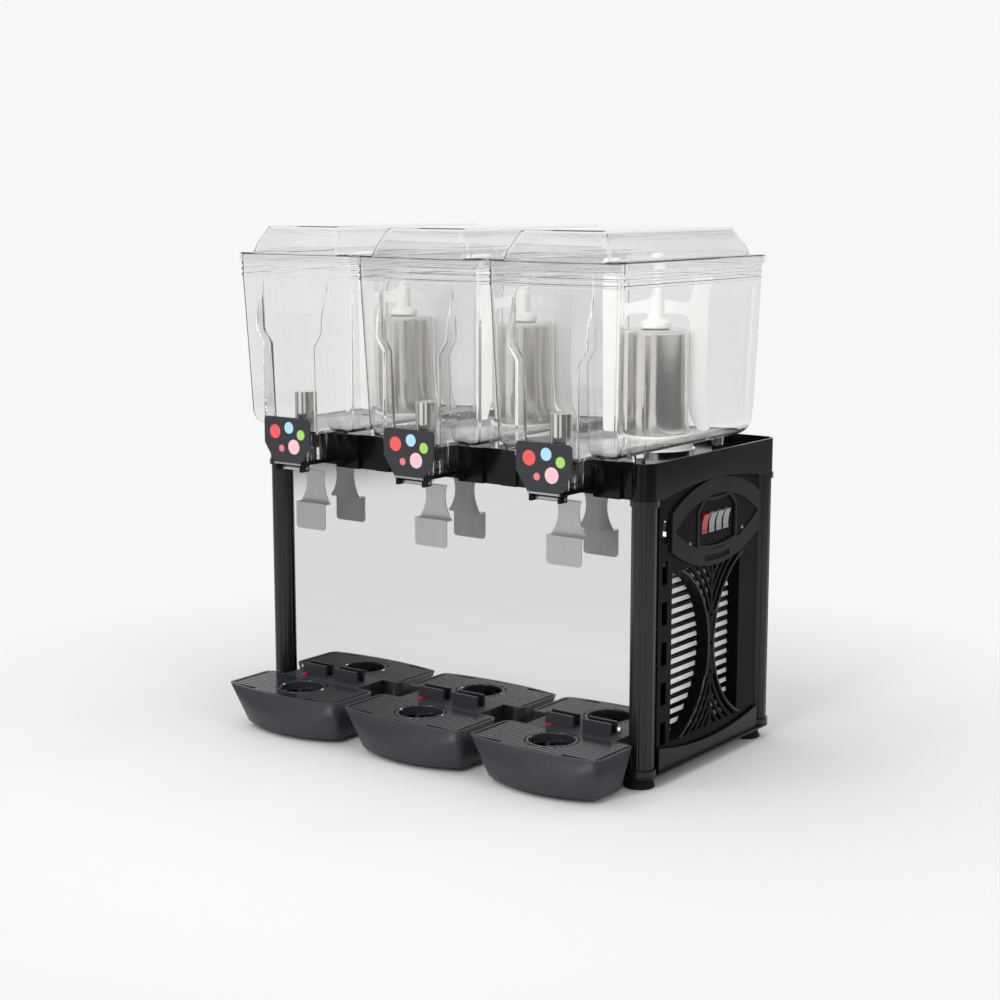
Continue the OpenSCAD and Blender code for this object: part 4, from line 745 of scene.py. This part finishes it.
# %% Helpers for boxes and turned parts
def box_mesh(name, low, high, taper=0.0):
    """Box between two corners, whose lower end is drawn in on both sides by taper in x."""
    bm = bmesh.new()
    bmesh.ops.create_cube(bm, size=1.0)
    for vert in bm.verts:
        share = [c + 0.5 for c in vert.co]
        spot = [l + s * (h - l) for l, h, s in zip(low, high, share)]
        if share[2] < 0.5:
            spot[0] += taper * (1 - 2 * share[0])
        vert.co = spot
    return as_mesh(bm, name)


def turned(name, profile, y=0.0, segments=48):
    """Solid of revolution round an upright axis; the profile lists (radius, height) and is closed."""
    rings = []
    for i in range(segments):
        angle = 2 * math.pi * i / segments
        rings.append([Vector((r * math.cos(angle), y + r * math.sin(angle), z)) for r, z in profile])
    return joined_rings(name, rings, closed=True)


def combined(base, others, operation):
    """Mesh of a Boolean between base and each of the others in turn."""
    for other in others:
        first = bpy.data.objects.new("first", base)
        second = bpy.data.objects.new("second", other)
        for obj in (first, second):
            bpy.context.scene.collection.objects.link(obj)
        cut = first.modifiers.new("cut", "BOOLEAN")
        cut.operation = operation
        cut.solver = "EXACT"
        cut.object = second
        graph = bpy.context.evaluated_depsgraph_get()
        base = bpy.data.meshes.new_from_object(first.evaluated_get(graph))
        for obj in (first, second):
            bpy.data.objects.remove(obj)
    return base


def scaled_mm(mesh, x=0.0):
    """Turns a mesh drawn in mm round x = 0 into metres at a station."""
    mesh.transform(Matrix.Translation((x, 0, 0)) @ Matrix.Scale(MM, 4))
    return mesh


# %% Join the tap and the legs to a bowl
SHELF_TOP, TAP_TOP, TAP_Y = 361.0, 399.5, -137.5
SLEEVE_R, BORE_R, SEAT_Z, STOP_R = 17.0, 13.55, 375.0, 8.2
BORE_TOP, AXIS_R = 408.0, 0.01
PLATE_HALF, PLATE_FRONT, PLATE_BACK, PLATE_TAPER = 23.0, -165.5, -162.5, 6.0
RIB_IN, RIB_OUT, RIB_HALF, RIB_TAPER = 10.0, 23.0, 1.2, 3.0
LEG_IN, LEG_OUT, LEG_HALF, LEG_LOW, LEG_TAPER = 61.5, 67.5, 10.0, 380.2, 1.0
sleeve = turned("sleeve", [(STOP_R, SHELF_TOP), (SLEEVE_R, SHELF_TOP), (SLEEVE_R, TAP_TOP),
                           (BORE_R, TAP_TOP), (BORE_R, SEAT_Z), (STOP_R, SEAT_Z)], y=TAP_Y)
bore = turned("bore", [(AXIS_R, SEAT_Z + 1), (BORE_R, SEAT_Z + 1), (BORE_R, BORE_TOP),
                       (AXIS_R, BORE_TOP)], y=TAP_Y)
joined = [sleeve, box_mesh("front_plate", (-PLATE_HALF, PLATE_FRONT, SHELF_TOP),
                           (PLATE_HALF, PLATE_BACK, TAP_TOP), PLATE_TAPER)]
for y in (-152.0, -124.0):
    for side in (-1, 1):
        low_x, high_x = sorted((side * RIB_IN, side * RIB_OUT))
        low, high = (low_x, y - RIB_HALF, SHELF_TOP), (high_x, y + RIB_HALF, TAP_TOP)
        joined.append(box_mesh("rib", low, high, RIB_TAPER))
for y in (-71.5, 111.0):
    for side in (-1, 1):
        low_x, high_x = sorted((side * LEG_IN, side * LEG_OUT))
        low, high = (low_x, y - LEG_HALF, LEG_LOW), (high_x, y + LEG_HALF, TAP_TOP)
        joined.append(box_mesh("leg", low, high, LEG_TAPER))
bowl_mesh = combined(combined(bowl_shell(), joined, "UNION"), [bore], "DIFFERENCE")
for station in STATIONS:
    mesh = scaled_mm(bowl_mesh.copy(), station_x[station])
    body = "bowl_" + station
    shown("bowl_clear_" + station, mesh, clear, body, (body,))
print("faces in a bowl:", len(bowl_mesh.polygons))

# %% [markdown]
# ## Lids
#
# A lid is a thin moulding: a skirt round the rim, a flat flange and a dome whose long sides start
# steep and then lean in. A box with bevelled edges could stand for it, but its skirt and flange
# would need parts of their own. As with the bowls, outlines are joined, first from the top down the
# outside and then up the inside.

# %% Draw a lid's outline
def lid_outline(z, half, front, rear, radius):
    """Rounded rectangle at height z."""
    points = [(0.0, front), (half - radius - STRIP, front)]
    points += corner_points(half - radius, front + radius, radius, -90)
    points += [(half, front + radius + STRIP), (half, rear - radius - STRIP)]
    points += corner_points(half - radius, rear - radius, radius, 0)
    points.append((half - radius - STRIP, rear))
    return [Vector((x, y, z)) for x, y in mirrored(points)]


# %% Join the lids' outlines
# Each row is a height, half the width, the front, the rear and the radius of the corners.
outside = [
    (657.5, 54.5, -138.5, 149.5, 5.5), (657.5, 56.0, -140.0, 151.0, 6.0),
    (656.8, 57.8, -141.8, 152.8, 7.0), (655.4, 59.2, -143.1, 154.2, 7.5),
    (654.4, 59.74, -143.54, 154.76, 7.5), (635.5, 69.86, -151.86, 165.34, 7.0),
    (634.5, 70.4, -152.3, 165.9, 7.0), (632.5, 71.3, -153.0, 166.9, 7.0),
    (625.0, 73.6, -155.0, 169.0, 7.0), (623.5, 75.0, -156.2, 170.2, 7.5),
    (623.5, 92.8, -157.0, 171.0, 8.0), (623.2, 94.5, -158.2, 172.2, 9.0),
    (622.2, 95.6, -159.1, 173.1, 9.7), (620.8, 96.0, -159.5, 173.5, 10.0),
    (620.0, 96.0, -159.5, 173.5, 10.0), (614.8, 96.0, -159.5, 173.5, 10.0),
    (614.0, 96.0, -159.5, 173.5, 10.0), (612.6, 95.6, -159.1, 173.1, 9.7),
    (612.0, 94.8, -158.4, 172.4, 9.0),
]
inside = [
    (612.0, 94.0, -157.5, 171.5, 8.0), (612.5, 93.5, -157.0, 171.0, 7.5),
    (621.0, 93.5, -157.0, 171.0, 7.5), (621.0, 73.0, -154.2, 168.2, 6.0),
    (622.4, 71.4, -152.8, 166.8, 5.5), (631.6, 68.8, -150.6, 164.4, 5.0),
    (633.4, 67.9, -149.9, 163.4, 5.0), (653.6, 57.1, -141.0, 152.1, 5.0),
    (654.6, 55.6, -139.6, 150.6, 5.0), (655.0, 54.0, -138.0, 149.0, 4.5),
    (655.0, 52.5, -136.5, 147.5, 4.5),
]
lid_mesh = joined_rings("lid", [lid_outline(*row) for row in outside + inside])
for station in STATIONS:
    mesh = scaled_mm(lid_mesh.copy(), station_x[station])
    shown("lid_clear_" + station, mesh, clear, "lid_" + station, ("lid_" + station,))
print("faces in a lid:", len(lid_mesh.polygons))

# %% [markdown]
# ## Stirrers
#
# A stirrer hangs over the can: a round hub on the shaft, a sleeve, a stem with a flared cap and two
# arms that sweep down into tall paddles. The round parts are turned. An arm and its paddle are one
# flat moulding, so their outline is drawn once, given its thickness, turned half round for the
# other side and softened along all edges.

# %% Make the stirrers
TURN = math.radians(36)
BLADE_T = 5.0
STIRRER_ROUND = 1.2
blade = [
    (4, 570.5), (12, 569.5), (24, 567.0), (34, 564.8), (40, 564.6), (43, 566.5), (44, 570.5),
    (44, 598.0), (46, 600.0), (61, 600.0), (65.5, 597.5), (67, 593.0), (66.2, 500.0),
    (65.0, 408.0), (62, 405.2), (53, 405.2), (51, 407.0), (44, 431.0), (44, 536.0),
    (43.4, 541.5), (41.0, 546.5), (36.5, 550.0), (28, 552.0), (18, 551.5), (4, 550.5),
]
rings = [[Vector((r, y, z)) for r, z in blade] for y in (-BLADE_T / 2, BLADE_T / 2)]
blade_mesh = joined_rings("blade", rings)
HUB_Z = 533.6
hub = [(6.4, 0), (18.5, 0), (20.6, 1.4), (21.2, 4), (20.4, 7.5), (17, 10.2), (12, 11.6), (11, 14)]
cap = [(10.4, 570.5), (9.6, 571.6), (7.2, 572.2), (7, 599), (9.6, 600.2), (9.4, 603),
       (7, 620.2), (6.2, 621.4)]
socket = [(0.02, 621.4), (0.02, HUB_Z + 21), (6.4, HUB_Z + 20.4)]
spindle = turned("spindle", [(r, HUB_Z + rise) for r, rise in hub] + cap + socket)
for station in STATIONS:
    bm = bmesh.new()
    bm.from_mesh(blade_mesh)
    bmesh.ops.rotate(bm, verts=bm.verts, cent=(0, 0, 0), matrix=Matrix.Rotation(math.pi, 3, "Z"))
    bm.from_mesh(blade_mesh)
    bmesh.ops.rotate(bm, verts=bm.verts, cent=(0, 0, 0), matrix=Matrix.Rotation(TURN, 3, "Z"))
    bm.from_mesh(spindle)
    bmesh.ops.translate(bm, verts=bm.verts, vec=(0, CAN_Y, 0))
    mesh = scaled_mm(as_mesh(bm, "stirrer"), station_x[station])
    body = "stirrer_" + station
    stirrer = shown("stirrer_white_" + station, mesh, white_plastic, body, (body,))
    round_edges(stirrer, STIRRER_ROUND, segments=3)
print("stirrer blades have", len(blade), "outline points")

# %% [markdown]
# ## Ribbed covers, louvre hoods and grille borders
#
# These repeat one small shape many times or carry one section along an arc. Modelling each by hand
# would take long and would be hard to change, so Geometry Nodes trees grow them. A tree's result is
# turned into a plain mesh, because each copy rides on its own body.

# %% Helpers for Geometry Nodes
def geometry_tree(name, inputs):
    """Geometry Nodes tree with named float inputs; returns the tree and its input and output nodes."""
    tree = bpy.data.node_groups.new(name, "GeometryNodeTree")
    tree.interface.new_socket("Geometry", in_out="OUTPUT", socket_type="NodeSocketGeometry")
    for label in inputs:
        tree.interface.new_socket(label, in_out="INPUT", socket_type="NodeSocketFloat")
    tree.interface.new_socket("Material", in_out="INPUT", socket_type="NodeSocketMaterial")
    return tree, tree.nodes.new("NodeGroupInput").outputs, tree.nodes.new("NodeGroupOutput").inputs


def add_node(tree, kind, **inputs):
    """New node whose named inputs are linked to sockets or set to values."""
    made = tree.nodes.new(kind)
    for label, value in inputs.items():
        socket = made.inputs[label.replace("_", " ")]
        if isinstance(value, bpy.types.NodeSocket):
            tree.links.new(value, socket)
        else:
            socket.default_value = value
    return made


def vector_of(tree, x=0.0, y=0.0, z=0.0):
    """Vector from three sockets or numbers."""
    return add_node(tree, "ShaderNodeCombineXYZ", X=x, Y=y, Z=z).outputs[0]


def close_tree(tree, given, result, geometry):
    """Realizes the instances, sets the material and links the result."""
    real = add_node(tree, "GeometryNodeRealizeInstances", Geometry=geometry)
    painted = add_node(tree, "GeometryNodeSetMaterial", Geometry=real.outputs[0],
                       Material=given["Material"])
    tree.links.new(painted.outputs[0], result["Geometry"])


def grown(tree, **values):
    """Plain mesh that a tree makes from the given inputs."""
    carrier = bpy.data.objects.new("carrier", bpy.data.meshes.new("carrier"))
    bpy.context.scene.collection.objects.link(carrier)
    modifier = carrier.modifiers.new(tree.name, "NODES")
    modifier.node_group = tree
    for item in tree.interface.items_tree:
        if item.in_out == "INPUT":
            modifier[item.identifier] = values[item.name.replace(" ", "_")]
    graph = bpy.context.evaluated_depsgraph_get()
    mesh = bpy.data.meshes.new_from_object(carrier.evaluated_get(graph))
    bpy.data.objects.remove(carrier)
    return mesh


# %% Ribs of a tray's cover
RIB_INPUTS = ("Rows", "Pitch", "First", "Width", "Height", "Side", "Bow Radius", "Bow Centre",
              "Well Radius", "Well Centre")
rib_tree, given, result = geometry_tree("cover_ribs", RIB_INPUTS)
line = add_node(rib_tree, "GeometryNodeMeshLine", Count=given["Rows"],
                Start_Location=vector_of(rib_tree, 0.0, given["First"]),
                Offset=vector_of(rib_tree, 0.0, given["Pitch"]))
place = add_node(rib_tree, "GeometryNodeInputPosition").outputs[0]
y = add_node(rib_tree, "ShaderNodeSeparateXYZ", Vector=place).outputs["Y"]


def half_chord(tree, y, radius, centre):
    """Half the width of a circle at height y, or nothing beyond it."""
    away = math_node(tree, "SUBTRACT", y, centre)
    square = math_node(tree, "MULTIPLY", radius, radius)
    room = math_node(tree, "SUBTRACT", square, math_node(tree, "MULTIPLY", away, away))
    return math_node(tree, "SQRT", math_node(tree, "MAXIMUM", room, 0.0))


outer = half_chord(rib_tree, y, given["Bow Radius"], given["Bow Centre"])
outer = math_node(rib_tree, "MINIMUM", outer, given["Side"])
inner = half_chord(rib_tree, y, given["Well Radius"], given["Well Centre"])
middle = math_node(rib_tree, "MULTIPLY", math_node(rib_tree, "ADD", outer, inner), 0.5)
length = math_node(rib_tree, "MAXIMUM", math_node(rib_tree, "SUBTRACT", outer, inner), 0.0)
moved = add_node(rib_tree, "GeometryNodeSetPosition", Geometry=line.outputs["Mesh"],
                 Offset=vector_of(rib_tree, middle))
bar = add_node(rib_tree, "GeometryNodeMeshCube", Size=(1.0, 1.0, 1.0))
size = vector_of(rib_tree, length, given["Width"], given["Height"])
ribs = add_node(rib_tree, "GeometryNodeInstanceOnPoints", Points=moved.outputs[0],
                Instance=bar.outputs["Mesh"], Scale=size)
turn = add_node(rib_tree, "GeometryNodeTransform", Geometry=ribs.outputs[0], Scale=(-1.0, 1.0, 1.0))
real = add_node(rib_tree, "GeometryNodeRealizeInstances", Geometry=turn.outputs[0])
flip = add_node(rib_tree, "GeometryNodeFlipFaces", Mesh=real.outputs[0])
both = rib_tree.nodes.new("GeometryNodeJoinGeometry")
for part in (ribs, flip):
    rib_tree.links.new(part.outputs[0], both.inputs[0])
close_tree(rib_tree, given, result, both.outputs[0])
print("ribs tree:", len(rib_tree.nodes), "nodes")

# %% Fit ribs and a drain ring to each cover
BOW_RADIUS, BOW_CENTRE = 440.0, 240.3
WELL_R, WELL_Y, COVER_TOP = 33.0, -154.5, 58.5
rib_mesh = grown(rib_tree, Rows=12, Pitch=6.6 * MM, First=-197.5 * MM, Width=4.6 * MM,
                 Height=2.8 * MM, Side=86.5 * MM, Bow_Radius=BOW_RADIUS * MM,
                 Bow_Centre=BOW_CENTRE * MM, Well_Radius=WELL_R * MM, Well_Centre=WELL_Y * MM,
                 Material=cover_grey)
rib_mesh.transform(Matrix.Translation((0, 0, COVER_TOP * MM)))
ring = [(27.7, 57.5), (31.9, 57.5), (31.7, 59.4), (30.9, 60.2), (28.7, 60.2), (27.9, 59.4)]
ring_mesh = scaled_mm(turned("drain_ring", ring, y=WELL_Y, segments=64))
for station in STATIONS:
    for label, mesh in (("cover_ribs_", rib_mesh), ("drain_ring_", ring_mesh)):
        copy = mesh.copy()
        copy.transform(Matrix.Translation((station_x[station], 0, 0)))
        shown(label + station, copy, cover_grey, "tray_cover_" + station)
print("faces in one cover's ribs:", len(rib_mesh.polygons))

# %% Screw the switch plate on
SCREWS = ((-6, 284), (120, 287))
SCREW_HEAD = [(0.02, 0), (2.6, 0), (2.4, 0.7), (1.4, 1.2), (0.02, 1.4)]
screw = scaled_mm(turned("plate_screw", SCREW_HEAD, segments=24))
screw.transform(Matrix.Rotation(math.pi / 2, 4, "Y"))
for index, (y, z) in enumerate(SCREWS):
    copy = screw.copy()
    copy.transform(Matrix.Translation(((PLATE_FACE + FIELD_T) * MM, y * MM, z * MM)))
    shown("plate_screw_" + str(index + 1), copy, lever_steel, "cabinet")
print("screws in the switch plate:", len(SCREWS))

# %% Hoods of the louvre sheets
HOOD_INPUTS = ("Rows", "Pitch", "Length", "Height", "Thickness", "Tilt")
hood_tree, given, result = geometry_tree("louvre_hoods", HOOD_INPUTS)
line = add_node(hood_tree, "GeometryNodeMeshLine", Count=given["Rows"],
                Offset=vector_of(hood_tree, 0.0, 0.0, given["Pitch"]))
size = vector_of(hood_tree, given["Thickness"], given["Length"], given["Height"])
plate = add_node(hood_tree, "GeometryNodeMeshCube", Size=size)
hoods = add_node(hood_tree, "GeometryNodeInstanceOnPoints", Points=line.outputs["Mesh"],
                 Instance=plate.outputs["Mesh"], Rotation=vector_of(hood_tree, 0.0, given["Tilt"]))
close_tree(hood_tree, given, result, hoods.outputs[0])
print("hoods tree:", len(hood_tree.nodes), "nodes")

# %% Fit the hoods behind each grille
# The hoods carry the louvres' bright metal; the sheet behind them is painted darker as shade between the
# hoods.
HOODS, HOOD_X, HOOD_Y, HOOD_Z = 16, 278.6, 45.5, 50.5
HOOD_TILT = math.radians(12)
for label, side in (("left", -1), ("right", 1)):
    mesh = grown(hood_tree, Rows=HOODS, Pitch=12.5 * MM, Length=206 * MM, Height=5.2 * MM,
                 Thickness=0.8 * MM, Tilt=-side * HOOD_TILT, Material=louvre_sheet)
    mesh.transform(Matrix.Translation((side * HOOD_X * MM, HOOD_Y * MM, HOOD_Z * MM)))
    shown("louvre_hoods_" + label, mesh, louvre_sheet, "cabinet")
print("hoods on each side:", HOODS)

# %% Borders beside the windows
BORDER_INPUTS = ("Radius", "Start", "Sweep", "Thickness")
border_tree, given, result = geometry_tree("window_border", BORDER_INPUTS)
arc = add_node(border_tree, "GeometryNodeCurveArc", Resolution=48, Radius=given["Radius"],
               Start_Angle=given["Start"], Sweep_Angle=given["Sweep"])
section = add_node(border_tree, "GeometryNodeCurvePrimitiveCircle", Resolution=10,
                   Radius=given["Thickness"])
tube = add_node(border_tree, "GeometryNodeCurveToMesh", Curve=arc.outputs["Curve"],
                Profile_Curve=section.outputs["Curve"], Fill_Caps=True)
close_tree(border_tree, given, result, tube.outputs[0])
print("border tree:", len(border_tree.nodes), "nodes")

# %% Fit the borders to each grille
WINDOW_R, WINDOW_MID, REACH = 112.0, 151.0, 66.0
BORDER_X, BORDER_GAP, BORDER_R = 294.8, 2.0, 1.5
SWEEP = math.radians(2 * REACH)
WINDOWS = (("front", -68.5, -REACH), ("rear", 171.5, 180 - REACH))
UPRIGHT = Matrix(((0, 0, 1, 0), (1, 0, 0, 0), (0, 1, 0, 0), (0, 0, 0, 1)))
for label, side in (("left", -1), ("right", 1)):
    for part, centre_y, start in WINDOWS:
        mesh = grown(border_tree, Radius=(WINDOW_R + BORDER_GAP) * MM, Start=math.radians(start),
                     Sweep=SWEEP, Thickness=BORDER_R * MM, Material=edge_black)
        centre = Vector((side * BORDER_X * MM, centre_y * MM, WINDOW_MID * MM))
        mesh.transform(Matrix.Translation(centre) @ UPRIGHT)
        shown("window_border_" + part + "_" + label, mesh, edge_black, "cabinet")
print("borders sweep", 2 * REACH, "degrees")

# %% [markdown]
# ## Badges
#
# Each tap has a dark plate with a bright printed motif and a steel lower edge. The print could be a
# picture; here it is a set of thin raised discs, like bubbles in a drink, so that it stays sharp
# from close by.

# %% Print the badges
BADGE_FRONT = -174.5
PRINT_T, PRINT_SUNK = 0.3, 0.2
PRINT_ROUGHNESS = 0.42
# Each bubble has two close tones, its place across and up the plate, and its radius.
BUBBLES = {
    "coral": ("#ef5350", "#f4625e", -20, 398, 9.0),
    "sky": ("#a9dcf0", "#b6e4f5", 4, 404, 7.5),
    "lime": ("#a3d65c", "#aedd6b", 24, 396, 6.5),
    "rose": ("#f7bfc9", "#f9cbd3", 12, 380, 9.5),
    "salmon": ("#ee7479", "#f18387", -9, 377, 4.5),
}


def disc(name, x, z, radius):
    """Thin round print on the badge's face."""
    angles = [math.radians(a) for a in range(0, 360, 10)]
    outline = [(x + radius * math.cos(a), z + radius * math.sin(a)) for a in angles]
    faces = (BADGE_FRONT + PRINT_SUNK, BADGE_FRONT - PRINT_T)
    rings = [[Vector((px, y, pz)) for px, pz in outline] for y in faces]
    return joined_rings(name, rings)


for name, (tone, second, x, z, radius) in BUBBLES.items():
    ink = finish(name, tone, second, PRINT_ROUGHNESS, 0.05, depth=0.002)
    for station in STATIONS:
        mesh = scaled_mm(disc(name, x, z, radius), station_x[station])
        shown("print_" + name + "_" + station, mesh, ink, "cabinet")
print("printed shapes on a badge:", len(BUBBLES))

# %% Fold the badges' lower edge
EDGE_ROUND = 0.3
edge_low, edge_high = (-22.5, BADGE_FRONT - 0.4, 356.6), (22.5, -171.8, 359.0)
for station in STATIONS:
    mesh = scaled_mm(box_mesh("badge_edge", edge_low, edge_high), station_x[station])
    edge = shown("badge_edge_" + station, mesh, lever_steel, "cabinet")
    round_edges(edge, EDGE_ROUND)
print("width of a badge's edge in mm:", edge_high[0] - edge_low[0])
